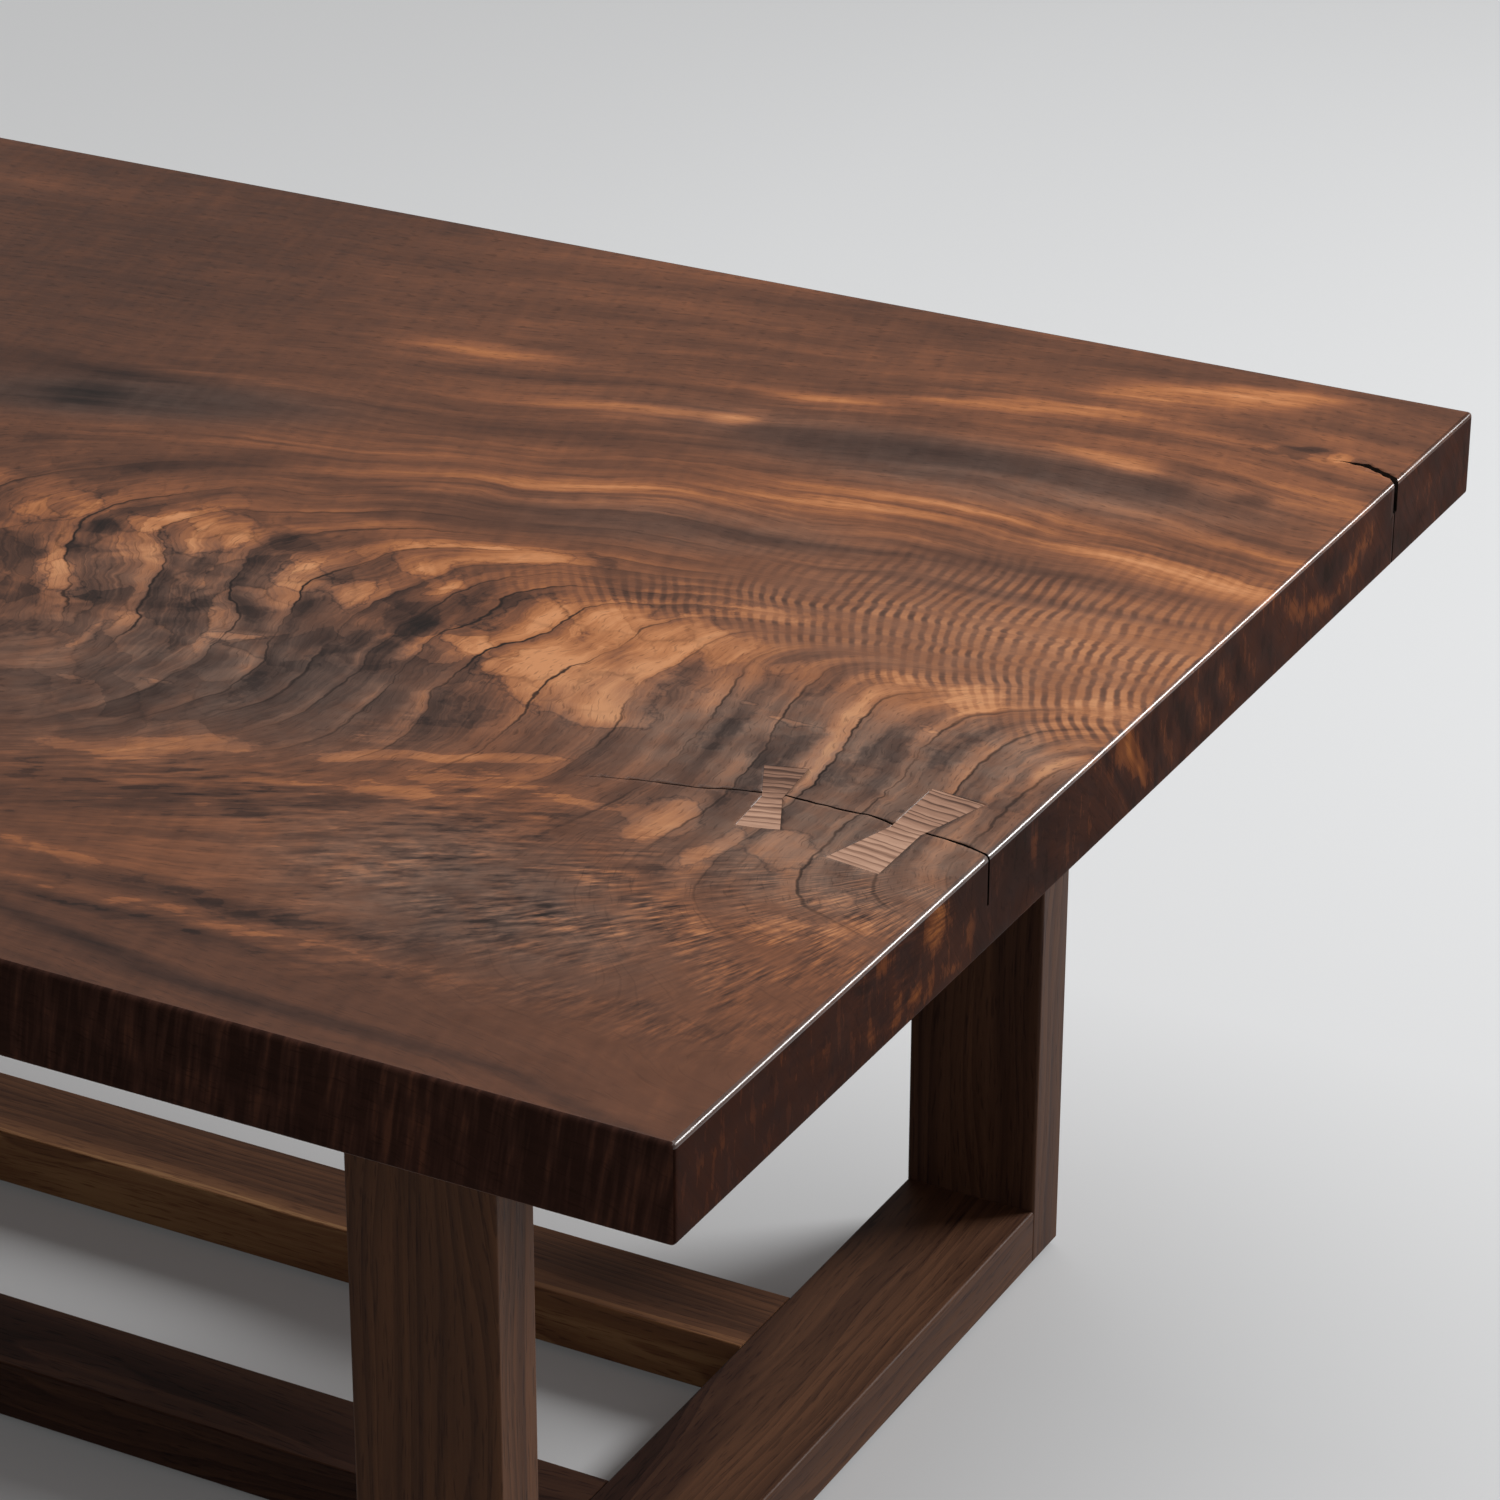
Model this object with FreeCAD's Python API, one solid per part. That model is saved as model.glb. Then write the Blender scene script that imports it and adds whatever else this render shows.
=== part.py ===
"""A coffee table: one thick walnut slab with two inlaid butterfly keys, on a base of ten boards.

Each end of the base is a rectangular frame of two posts, a top rail and a floor rail, joined by
loose tenons. Two stretchers lie between the floor rails. Bolts rise through slots in the top rails
into threaded inserts in the slab, so the slab can still shrink and swell across its width.

Lengths are millimetres. The origin is on the floor under the middle of the table, with X along the
slab, Y across it and Z up. The right end is +X and the front is -Y.
"""

import FreeCAD
import Part
import math
import os

# Slab
slab_length = 1400.0
slab_width = 760.0
slab_thickness = 40.0
table_height = 422.0
slab_edge_radius = 2.0
slab_lower_edge_radius = 1.5

# Crack in the front half of the right end, held by the two keys
front_crack_reach = 172.0
front_crack_drift = 14.0
front_crack_offset = 134.5
front_crack_mouth = 1.5
front_crack_depth = 21.0
# share of the reach, share of the drift towards the back, share of the mouth's width
front_crack_shares = (
    (0.00, 0.00, 1.00),
    (0.06, 0.24, 0.95),
    (0.13, 0.38, 0.80),
    (0.25, 0.45, 0.75),
    (0.31, 0.69, 0.85),
    (0.37, 0.61, 0.70),
    (0.53, 0.66, 0.80),
    (0.64, 0.36, 0.60),
    (0.72, -0.05, 0.50),
    (0.86, -0.41, 0.35),
    (1.00, -1.00, 0.00),
)

# Shorter, wider crack near the back corner
back_crack_reach = 32.0
back_crack_drift = 11.0
back_crack_offset = 284.0
back_crack_mouth = 4.6
back_crack_depth = 15.0
back_crack_shares = (
    (0.00, 0.00, 1.00),
    (0.14, 0.37, 0.90),
    (0.34, 0.65, 0.80),
    (0.55, 1.00, 0.85),
    (0.72, 1.00, 0.60),
    (0.86, 1.00, 0.25),
    (1.00, 0.96, 0.00),
)

# Its narrow root, which starts on the same line and runs through the whole thickness
back_root_reach = 36.0
back_root_mouth = 1.1
back_root_shares = (
    (0.00, 0.00, 1.00),
    (0.13, 0.37, 0.75),
    (0.32, 0.65, 0.60),
    (0.54, 1.00, 0.75),
    (0.78, 1.00, 0.50),
    (1.00, 0.90, 0.00),
)

# Butterfly keys, inlaid flush with the top and placed from the right end and the middle line
key_depth = 12.0
key_fit = 0.05
small_key_length = 54.0
small_key_width = 17.5
small_key_waist = 8.0
small_key_inset = 95.2
small_key_offset = 128.9
small_key_degrees = 16.0
large_key_length = 72.0
large_key_width = 24.0
large_key_waist = 13.4
large_key_inset = 37.0
large_key_offset = 130.3
large_key_degrees = -7.7

# Base boards, all planed to one thickness
stock = 29.0
board_width = 68.0
stretcher_width = 50.0
stretcher_gap = 122.0
frame_span = 526.0
end_inset = 142.0
board_edge_radius = 1.6

# Loose tenons, two side by side at each post and one at each end of a stretcher
tenon_thickness = 10.0
tenon_web = 10.0
tenon_edge_wall = 7.0
tenon_in_rail = 30.0
tenon_in_stretcher = 25.0
stretcher_tenon_wall = 14.0
mortise_floor = 9.5
tenon_fit = 0.1
tenon_end_gap = 0.5

# Slab bolts, with their slots, washers and threaded inserts
bolt_spacing = 150.0
bolt_radius = 4.0
bolt_head_lip = 3.0
bolt_head_height = 4.4
bolt_head_edge = 2.0
bolt_tip_setback = 4.0
hex_across_flats = 5.0
hex_depth = 2.6
slot_fit = 0.6
slot_travel = 9.0
washer_thickness = 2.0
washer_lap = 2.9
washer_fit = 0.2
insert_length = 18.0
insert_wall = 1.9
insert_bore_fit = 0.1
insert_outer_fit = 0.05
insert_hole_spare = 3.0

# Felt pads under the corners of the base
pad_radius = 19.0
pad_height = 3.0
pad_edge_radius = 0.8
pad_edge_setback = 4.0

# How far each cutting solid runs past the face that it opens, and how level an edge has to lie
overrun = 5.0
level_tolerance = 0.01

# Axes, and the places that follow from the sizes above
along = FreeCAD.Vector(1, 0, 0)
across = FreeCAD.Vector(0, 1, 0)
up = FreeCAD.Vector(0, 0, 1)

slab_underside = table_height - slab_thickness
base_bottom = pad_height
frame_x = slab_length / 2 - end_inset - board_width / 2
post_y = frame_span / 2 - stock / 2
rail_length = frame_span - 2 * stock
stretcher_y = stretcher_gap / 2 + stretcher_width / 2
stretcher_length = 2 * frame_x - board_width
floor_rail_z = base_bottom + stock / 2
top_rail_z = slab_underside - stock / 2

corner_tenon_width = (board_width - 2 * tenon_edge_wall - tenon_web) / 2
corner_tenon_shift = tenon_web / 2 + corner_tenon_width / 2
stretcher_tenon_width = stretcher_width - 2 * stretcher_tenon_wall
tenon_in_post = stock - mortise_floor - tenon_end_gap

washer_seat = slab_underside - stock
bolt_seat = washer_seat - washer_thickness
bolt_length = washer_thickness + stock + insert_length - bolt_tip_setback
slot_radius = bolt_radius + slot_fit
washer_radius = slot_travel / 2 + slot_radius + washer_lap
insert_bore = bolt_radius + insert_bore_fit
insert_radius = insert_bore + insert_wall


def eased_box(size, centre, radius, axis):
    """A box about centre whose edges along axis are rounded."""
    box = Part.makeBox(size.x, size.y, size.z, centre - size / 2)
    edges = [e for e in box.Edges if abs(e.tangentAt(e.FirstParameter).dot(axis)) > 0.5]
    return box.makeFillet(radius, edges)


def edges_at(solid, z):
    """The edges of a solid that lie level at height z."""
    bounds = [(e, e.BoundBox) for e in solid.Edges]
    return [e for e, b in bounds if abs(b.ZMin - z) < level_tolerance and abs(b.ZMax - z) < level_tolerance]


def prism(points, bottom, height):
    """An upright solid with a polygonal outline."""
    ring = [FreeCAD.Vector(x, y, bottom) for x, y in points]
    face = Part.Face(Part.makePolygon(ring + ring[:1]))
    return face.extrude(up * height)


def crack(reach, drift, offset, mouth, depth, shares):
    """The void of a crack that opens at the right end and narrows to a point inside the slab."""
    spine = [(slab_length / 2 - reach * a, offset + drift * s, mouth * w / 2) for a, s, w in shares]
    end_x, end_y, end_half = spine[0]
    spine.insert(0, (end_x + overrun, end_y, end_half))
    *body, tip = spine
    back_side = [(x, y + half) for x, y, half in body]
    front_side = [(x, y - half) for x, y, half in reversed(body)]
    return prism(back_side + [tip[:2]] + front_side, table_height - depth, depth + overrun)


def front_crack():
    """The long crack, which goes about half way down."""
    return crack(
        front_crack_reach, front_crack_drift, -front_crack_offset, front_crack_mouth,
        front_crack_depth, front_crack_shares,
    )


def back_crack():
    """The short crack near the back corner."""
    return crack(
        back_crack_reach, back_crack_drift, back_crack_offset, back_crack_mouth,
        back_crack_depth, back_crack_shares,
    )


def back_root():
    """The root of the short crack, which opens the slab down to its underside."""
    return crack(
        back_root_reach, back_crack_drift, back_crack_offset, back_root_mouth,
        slab_thickness + overrun, back_root_shares,
    )


def butterfly(length, width, waist, inset, offset, degrees, fit, above):
    """A butterfly key, or with a fit and a height above the top, the pocket that it is let into."""
    half = length / 2 + fit
    wing = width / 2 + fit
    neck = waist / 2 + fit
    ring = [(-wing, -half), (wing, -half), (neck, 0), (wing, half), (-wing, half), (-neck, 0)]
    solid = prism(ring, table_height - key_depth, key_depth + above)
    solid.rotate(FreeCAD.Vector(), up, degrees)
    solid.translate(FreeCAD.Vector(slab_length / 2 - inset, -offset, 0))
    return solid


def small_key(fit=0, above=0):
    """The key further from the end."""
    return butterfly(
        small_key_length, small_key_width, small_key_waist, small_key_inset, small_key_offset,
        small_key_degrees, fit, above,
    )


def large_key(fit=0, above=0):
    """The key nearer the end."""
    return butterfly(
        large_key_length, large_key_width, large_key_waist, large_key_inset, large_key_offset,
        large_key_degrees, fit, above,
    )


def bolt_places(side, z):
    """Where the three slab bolts of one end stand, at height z."""
    return [FreeCAD.Vector(side * frame_x, place * bolt_spacing, z) for place in (-1, 0, 1)]


def insert_holes():
    """The blind holes in the underside of the slab."""
    radius = insert_radius + insert_outer_fit
    depth = insert_length + insert_hole_spare
    mouths = bolt_places(-1, slab_underside - overrun) + bolt_places(1, slab_underside - overrun)
    return [Part.makeCylinder(radius, depth + overrun, mouth, up) for mouth in mouths]


def slab():
    """The slab with its cracks, key pockets and insert holes."""
    size = FreeCAD.Vector(slab_length, slab_width, slab_thickness)
    middle = FreeCAD.Vector(0, 0, table_height - slab_thickness / 2)
    solid = eased_box(size, middle, slab_edge_radius, up)
    solid = solid.makeFillet(slab_edge_radius, edges_at(solid, table_height))
    solid = solid.makeFillet(slab_lower_edge_radius, edges_at(solid, slab_underside))
    cracks = [front_crack(), back_crack(), back_root()]
    pockets = [small_key(key_fit, overrun), large_key(key_fit, overrun)]
    return solid.cut(cracks + pockets + insert_holes())


def tenon(centre, axis, before, after, width, fit, end_gap):
    """A flat tenon with round edges, from before to after a point on its centre line."""
    flat = across if axis.x else along
    radius = tenon_thickness / 2 + fit
    reach = (width - tenon_thickness) / 2
    start = centre - axis * (before + end_gap)
    front_low, back_low, back_high, front_high = (
        start + flat * (a * reach) + up * (b * radius) for a, b in ((-1, -1), (1, -1), (1, 1), (-1, 1))
    )
    outline = Part.Wire([
        Part.LineSegment(front_low, back_low).toShape(),
        Part.Arc(back_low, start + flat * (reach + radius), back_high).toShape(),
        Part.LineSegment(back_high, front_high).toShape(),
        Part.Arc(front_high, start - flat * (reach + radius), front_low).toShape(),
    ])
    return Part.Face(outline).extrude(axis * (before + after + 2 * end_gap))


def corner_tenons(side, fit=0, end_gap=0):
    """Two tenons at each corner of one end frame, through the faces where rails meet posts."""
    found = []
    for z in (floor_rail_z, top_rail_z):
        for shift in (-corner_tenon_shift, corner_tenon_shift):
            x = side * frame_x + shift
            front = FreeCAD.Vector(x, -rail_length / 2, z)
            back = FreeCAD.Vector(x, rail_length / 2, z)
            width = corner_tenon_width
            found.append(tenon(front, across, tenon_in_post, tenon_in_rail, width, fit, end_gap))
            found.append(tenon(back, across, tenon_in_rail, tenon_in_post, width, fit, end_gap))
    return found


def stretcher_tenons(fit=0, end_gap=0):
    """One tenon at each end of each stretcher."""
    found = []
    for y in (-stretcher_y, stretcher_y):
        for x in (-stretcher_length / 2, stretcher_length / 2):
            centre = FreeCAD.Vector(x, y, floor_rail_z)
            reach = tenon_in_stretcher
            found.append(tenon(centre, along, reach, reach, stretcher_tenon_width, fit, end_gap))
    return found


def mortises():
    """Every mortise of the base, which are the tenons with their clearances."""
    found = stretcher_tenons(tenon_fit, tenon_end_gap)
    for side in (-1, 1):
        found += corner_tenons(side, tenon_fit, tenon_end_gap)
    return found


def post(side, face):
    """An upright board from the pads to the slab, with its foot eased all round."""
    height = slab_underside - base_bottom
    size = FreeCAD.Vector(board_width, stock, height)
    middle = FreeCAD.Vector(side * frame_x, face * post_y, base_bottom + height / 2)
    solid = eased_box(size, middle, board_edge_radius, up)
    solid = solid.makeFillet(board_edge_radius, edges_at(solid, base_bottom))
    return solid.cut(mortises())


def rail(side, z):
    """A board laid flat between two posts."""
    size = FreeCAD.Vector(board_width, rail_length, stock)
    middle = FreeCAD.Vector(side * frame_x, 0, z)
    return eased_box(size, middle, board_edge_radius, across).cut(mortises())


def slot(centre, travel):
    """The void of an upright slot that lets a bolt shift across the table."""
    height = stock + 2 * overrun
    start = centre - across * (travel / 2)
    if travel == 0:
        return Part.makeCylinder(slot_radius, height, start, up)
    waist = Part.makeBox(2 * slot_radius, travel, height, start - along * slot_radius)
    ends = [Part.makeCylinder(slot_radius, height, start + across * y, up) for y in (0, travel)]
    return waist.fuse(ends).removeSplitter()


def top_rail(side):
    """The rail under the slab, with a round hole in the middle and a slot towards each post."""
    places = bolt_places(side, washer_seat - overrun)
    travels = (slot_travel, 0, slot_travel)
    return rail(side, top_rail_z).cut([slot(place, travel) for place, travel in zip(places, travels)])


def stretcher(face):
    """A long board laid flat between the floor rails."""
    size = FreeCAD.Vector(stretcher_length, stretcher_width, stock)
    middle = FreeCAD.Vector(0, face * stretcher_y, floor_rail_z)
    return eased_box(size, middle, board_edge_radius, along).cut(mortises())


def ring(base, outer, inner, height):
    """An upright tube from a point at its foot."""
    hole = Part.makeCylinder(inner, height + 2 * overrun, base - up * overrun, up)
    return Part.makeCylinder(outer, height, base, up).cut(hole)


def slot_washers(side):
    """The wide washers of one end, which cover the slots."""
    places = bolt_places(side, bolt_seat)
    bore = bolt_radius + washer_fit
    return Part.makeCompound([ring(place, washer_radius, bore, washer_thickness) for place in places])


def threaded_inserts(side):
    """The threaded inserts of one end, flush with the underside of the slab."""
    places = bolt_places(side, slab_underside)
    return Part.makeCompound([ring(place, insert_radius, insert_bore, insert_length) for place in places])


def slab_bolt(seat):
    """A button-head bolt that points up, from the point where its head meets the washer."""
    crown = seat - up * bolt_head_height
    head = Part.makeCylinder(bolt_radius + bolt_head_lip, bolt_head_height, crown, up)
    head = head.makeFillet(bolt_head_edge, edges_at(head, crown.z)[:1])
    shank = Part.makeCylinder(bolt_radius, bolt_length, seat, up)
    corner = hex_across_flats / 2 / math.cos(math.pi / 6)
    turns = [n * math.pi / 3 for n in range(6)]
    points = [(seat.x + corner * math.cos(t), seat.y + corner * math.sin(t)) for t in turns]
    socket = prism(points, crown.z - overrun, hex_depth + overrun)
    return head.fuse(shank).removeSplitter().cut(socket)


def slab_bolts(side):
    """The bolts of one end."""
    return Part.makeCompound([slab_bolt(place) for place in bolt_places(side, bolt_seat)])


def floor_pad(side, face):
    """A round felt pad under one corner of the base."""
    y = frame_span / 2 - pad_edge_setback - pad_radius
    disc = Part.makeCylinder(pad_radius, pad_height, FreeCAD.Vector(side * frame_x, face * y, 0), up)
    return disc.makeFillet(pad_edge_radius, edges_at(disc, 0)[:1])


def table():
    """Every piece of the table by the name of its node."""
    pieces = {
        "slab": slab(),
        "small_butterfly_key": small_key(),
        "large_butterfly_key": large_key(),
        "front_stretcher": stretcher(-1),
        "back_stretcher": stretcher(1),
        "stretcher_tenons": Part.makeCompound(stretcher_tenons()),
    }
    for side, end in ((-1, "left"), (1, "right")):
        pieces[f"{end}_floor_rail"] = rail(side, floor_rail_z)
        pieces[f"{end}_top_rail"] = top_rail(side)
        pieces[f"{end}_frame_tenons"] = Part.makeCompound(corner_tenons(side))
        pieces[f"{end}_slab_bolts"] = slab_bolts(side)
        pieces[f"{end}_slot_washers"] = slot_washers(side)
        pieces[f"{end}_threaded_inserts"] = threaded_inserts(side)
        for face, name in ((-1, "front"), (1, "back")):
            pieces[f"{end}_{name}_post"] = post(side, face)
            pieces[f"{end}_{name}_floor_pad"] = floor_pad(side, face)
    return pieces


os.makedirs("parts", exist_ok=True)
for node, shape in table().items():
    shape.exportStep(f"parts/{node}.step")
    volume = sum(solid.Volume for solid in shape.Solids)
    print(f"{node}: {len(shape.Solids)} solid(s), {volume / 1000:.1f} cm3, valid {shape.isValid()}")
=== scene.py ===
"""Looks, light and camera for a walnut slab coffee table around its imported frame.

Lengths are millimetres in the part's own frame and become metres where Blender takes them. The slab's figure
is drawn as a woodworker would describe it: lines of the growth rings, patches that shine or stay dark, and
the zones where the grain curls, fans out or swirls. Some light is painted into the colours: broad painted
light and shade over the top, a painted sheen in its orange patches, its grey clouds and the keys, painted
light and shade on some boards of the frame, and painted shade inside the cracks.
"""
import logging
import math
from collections.abc import Callable, Sequence
from dataclasses import dataclass
from enum import Enum
from functools import partial

import bpy
import numpy as np
from mathutils import Matrix, Vector


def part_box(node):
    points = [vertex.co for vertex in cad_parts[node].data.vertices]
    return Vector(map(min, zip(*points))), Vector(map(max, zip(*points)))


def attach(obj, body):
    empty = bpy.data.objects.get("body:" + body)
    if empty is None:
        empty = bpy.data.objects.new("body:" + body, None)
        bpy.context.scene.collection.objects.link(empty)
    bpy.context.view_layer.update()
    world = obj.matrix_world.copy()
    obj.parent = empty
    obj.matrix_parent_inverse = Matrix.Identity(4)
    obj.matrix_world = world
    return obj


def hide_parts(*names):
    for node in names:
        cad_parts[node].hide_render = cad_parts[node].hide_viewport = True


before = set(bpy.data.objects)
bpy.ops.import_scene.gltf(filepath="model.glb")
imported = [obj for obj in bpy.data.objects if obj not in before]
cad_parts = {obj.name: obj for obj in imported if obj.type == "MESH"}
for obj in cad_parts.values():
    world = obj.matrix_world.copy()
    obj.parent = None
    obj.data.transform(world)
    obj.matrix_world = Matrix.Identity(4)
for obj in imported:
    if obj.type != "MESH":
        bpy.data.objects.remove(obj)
bpy.context.view_layer.update()

MM = 0.001
TOP_HEIGHT = 422.0
RIGHT_END = 700.0
SAME = 0.01  # Two places nearer than this count as one
SMOOTH = {"interpolation_type": "SMOOTHSTEP"}
LOG = logging.getLogger("coffee_table")

Colour = tuple[float, float, float, float]
Point = tuple[float, float]
Place = tuple[float, float, float]
Ramp = tuple[tuple[float, str], ...]
Socket = bpy.types.NodeSocket


class Grain(Enum):
    """The way the fibres of a board run, as the turn that brings them to the X axis."""

    ALONG = (0.0, 0.0, 0.0)
    ACROSS = (0.0, 0.0, -90.0)
    UPRIGHT = (0.0, 90.0, 0.0)


# Growth rings of the slab, numbered from the back edge inwards. Each is a dark line on the top.
RINGS = (
    (-4, ((-700, 250), (-400, 270), (-140, 296), (100, 322), (300, 348), (450, 368))),
    (-3, ((-700, 150), (-400, 180), (-140, 212), (100, 240), (300, 275), (450, 308), (560, 330), (640, 342),
         (700, 338))),
    (-2, ((-700, 85), (-400, 105), (-120, 135), (80, 175), (240, 208), (360, 240), (480, 272), (600, 292),
         (700, 284))),
    (-1, ((-700, 50), (-300, 65), (-60, 92), (120, 134), (300, 175), (420, 212), (540, 246), (620, 248),
         (700, 238))),
    (0, ((-700, 25), (-250, 38), (0, 75), (120, 108), (250, 138), (350, 164), (450, 192), (550, 214),
         (620, 210), (700, 200))),
    (1, ((-700, 5), (-150, 15), (60, 62), (150, 90), (250, 112), (350, 132), (450, 162), (530, 180),
         (600, 170), (700, 162))),
    (2, ((-700, -10), (-400, -8), (-150, -16), (-50, -34), (-15, -80), (-50, -128), (-150, -150),
         (-400, -160), (-700, -166))),
    (3, ((-700, -22), (-400, -24), (-200, -36), (-115, -54), (-85, -82), (-115, -112), (-200, -130),
         (-400, -144), (-700, -150))),
    (4, ((-700, -32), (-450, -38), (-280, -52), (-190, -66), (-165, -82), (-190, -100), (-280, -116),
         (-450, -130), (-700, -138))),
    (5, ((-700, -42), (-500, -50), (-350, -62), (-270, -74), (-250, -83), (-270, -94), (-350, -106),
         (-500, -118), (-700, -127))),
    (6, ((-700, -51), (-550, -59), (-430, -69), (-355, -78), (-340, -84), (-355, -91), (-430, -100),
         (-550, -109), (-700, -117))),
    (7, ((-700, -60), (-580, -68), (-460, -79), (-440, -84), (-460, -90), (-580, -100), (-700, -108))),
    (8, ((-700, -69), (-600, -78), (-555, -84), (-600, -91), (-700, -100))),
    (9, ((-700, -79), (-665, -84), (-700, -91))),
    (2, ((-700, -205), (-150, -196), (60, -182), (150, -150), (150, -110), (100, -50), (85, 0), (112, 46),
         (190, 74), (280, 92), (340, 112), (440, 142), (530, 150), (600, 146), (700, 137))),
    (3, ((-700, -222), (-100, -212), (100, -200), (200, -170), (225, -140), (210, -98), (175, -60),
         (160, -15), (180, 18), (220, 50), (280, 73), (340, 98), (420, 121), (530, 132), (620, 131),
         (700, 127))),
    (4, ((-700, -236), (0, -226), (150, -210), (250, -168), (276, -130), (252, -98), (222, -50), (215, -18),
         (236, 14), (290, 42), (370, 71), (440, 97), (545, 107), (640, 113), (700, 118))),
    (5, ((-700, -248), (50, -238), (180, -222), (262, -172), (296, -126), (286, -92), (272, -46), (247, -22),
         (262, 12), (310, 32), (370, 52), (450, 76), (560, 92), (640, 100), (700, 104))),
    (6, ((-700, -260), (100, -250), (230, -236), (310, -212), (336, -165), (341, -130), (334, -88),
         (302, -45), (303, -5), (325, 20), (372, 41), (440, 56), (523, 63), (600, 75), (653, 83),
         (700, 90))),
    (7, ((150, -262), (280, -240), (345, -195), (366, -145), (352, -92), (338, -52), (347, -10), (358, 14),
         (400, 33), (473, 46), (530, 55), (620, 70), (700, 81))),
    (8, ((-700, -272), (180, -272), (300, -245), (362, -192), (385, -130), (375, -75), (374, -48),
         (383, -12), (402, 18), (460, 36), (540, 50), (640, 65), (700, 73))),
    (9, ((320, -240), (382, -190), (404, -148), (402, -100), (396, -55), (396, -12), (422, 18), (500, 39),
         (620, 58), (700, 67))),
    (10, ((-700, -286), (200, -284), (330, -250), (402, -197), (424, -160), (420, -108), (412, -65),
         (421, -30), (426, 3), (480, 25), (580, 45), (700, 61))),
    (11, ((350, -252), (430, -204), (450, -168), (440, -110), (438, -60), (454, -36), (458, 2), (510, 24),
         (600, 40), (700, 54))),
    (12, ((-700, -300), (220, -300), (370, -262), (440, -222), (478, -170), (484, -110), (478, -60),
         (486, -20), (496, 6), (560, 26), (700, 47))),
    (13, ((360, -285), (455, -245), (490, -205), (520, -150), (521, -105), (507, -60), (517, -28), (522, 3),
         (570, 20), (700, 40))),
    (14, ((-700, -318), (230, -318), (400, -290), (480, -266), (535, -222), (548, -180), (555, -120),
         (549, -65), (541, -35), (552, 5), (610, 20), (700, 33))),
    (15, ((-700, -334), (300, -326), (430, -309), (500, -300), (560, -300), (620, -325), (700, -346))),
    (14, ((600, -290), (700, -327))),
    (15, ((573, -60), (584, -105), (588, -150), (584, -182), (596, -232), (620, -265), (660, -292),
         (700, -308))),
    (15, ((572, -25), (585, 4), (640, 20), (700, 26))),
    (16, ((-700, -350), (300, -340), (400, -331), (540, -334), (620, -350), (700, -370))),
    (16, ((602, -25), (605, -60), (612, -105), (612, -170), (613, -208), (632, -232), (665, -247),
         (700, -257))),
    (16, ((618, -16), (640, 1), (700, 18))),
    (17, ((-700, -366), (300, -358), (430, -350), (520, -360), (600, -366), (680, -385))),
    (17, ((700, 6), (660, -10), (640, -25), (637, -55), (643, -100), (644, -175), (654, -200), (680, -211),
         (700, -219))),
    (18, ((-700, -385), (300, -375), (430, -372), (520, -384))),
    (18, ((700, -12), (672, -24), (664, -48), (665, -100), (668, -162), (678, -186), (700, -196))),
    (19, ((700, -40), (690, -60), (689, -110), (692, -152), (700, -170))),
)

# Patches of the top: x, y, half length and half width, then the turn in degrees and the strength.
# Here the whole board is lighter (above nought) or darker, softly. This is partly the wood's own tone and
# partly painted light and shade, with the top painted lighter towards the right end as a broad painted sheen.
TONE_AND_PAINTED_LIGHT = (
    (620, 60, 300, 230, 0, 0.1), (705, -20, 100, 270, 0, 0.13), (600, -60, 80, 60, 0, 0.04),
    (20, 280, 150, 190, 0, -0.1), (460, -352, 130, 34, 0, -0.06), (560, 0, 60, 60, 0, 0.06),
    (270, -30, 70, 40, 0, 0.06), (620, 270, 120, 60, 0, 0.08), (350, -130, 60, 60, 0, -0.03),
    (640, -130, 80, 50, 0, -0.04), (600, -64, 60, 14, 0, -0.05), (150, 98, 90, 16, 18, -0.16),
    (90, 120, 110, 18, 15, -0.1), (560, -240, 130, 60, 0, 0.05), (440, 84, 120, 9, 11, -0.12),
    (445, 128, 110, 13, 17, 0.16), (330, 86, 80, 12, 18, 0.1), (560, 165, 80, 12, 8, 0.12),
    (650, 145, 70, 10, -8, 0.28), (620, 118, 80, 7, 2, -0.14), (620, 90, 80, 4, 5, -0.12),
    (380, 55, 50, 8, 14, -0.12), (470, 206, 66, 17, 8, -0.2), (575, 222, 84, 15, 0, -0.2),
    (612, 238, 13, 20, 0, -0.12), (652, 234, 9, 8, 0, -0.16), (675, 208, 28, 18, 0, -0.08),
    (350, 155, 60, 12, 15, -0.1), (506, 290, 54, 11, 12, 0.2), (556, 325, 24, 18, 50, 0.16),
    (603, 347, 46, 16, 25, 0.28), (622, 312, 18, 18, 0, -0.08), (580, 248, 28, 8, -10, 0.16),
    (437, 248, 32, 9, 12, 0.2), (408, 212, 9, 14, -20, 0.18), (365, 200, 52, 10, 18, 0.16),
    (252, 226, 46, 16, 14, 0.17), (180, 146, 70, 5, 10, 0.14), (140, 124, 50, 5, 5, -0.14),
    (128, 97, 18, 20, 0, -0.14), (-300, -60, 160, 30, 4, 0.12), (-520, -140, 160, 20, -3, 0.1),
    (-250, 210, 170, 30, 7, 0.12), (-560, 290, 150, 34, 4, -0.1), (-450, -300, 180, 20, 0, -0.08),
    (-150, 310, 130, 20, 9, 0.08), (-600, -335, 130, 18, -3, 0.12), (-420, 0, 360, 420, 0, 0.05),
    (-350, 90, 170, 14, 6, -0.1), (215, 47, 50, 9, 31, -0.16), (330, 27, 50, 7, 6, 0.1),
    (640, 60, 80, 28, 5, 0.08), (280, 100, 90, 10, 18, 0.1), (460, -290, 120, 20, 10, 0.03),
    (400, 30, 60, 7, 14, 0.12), (430, -350, 64, 4, -9, -0.14), (545, -362, 84, 4, 0, -0.14),
    (660, -373, 50, 4, -14, -0.12), (440, -329, 76, 3, 1, -0.12), (455, -318, 100, 5, 2, 0.06),
    (455, -304, 80, 6, 3, -0.08), (430, -222, 70, 8, 25, -0.12), (400, -246, 70, 8, 22, -0.1),
    (445, -238, 50, 6, 24, 0.06), (470, -262, 70, 9, 16, 0.05), (556, -262, 26, 44, -14, -0.07),
    (380, -150, 60, 34, 0, -0.05),
)
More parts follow.
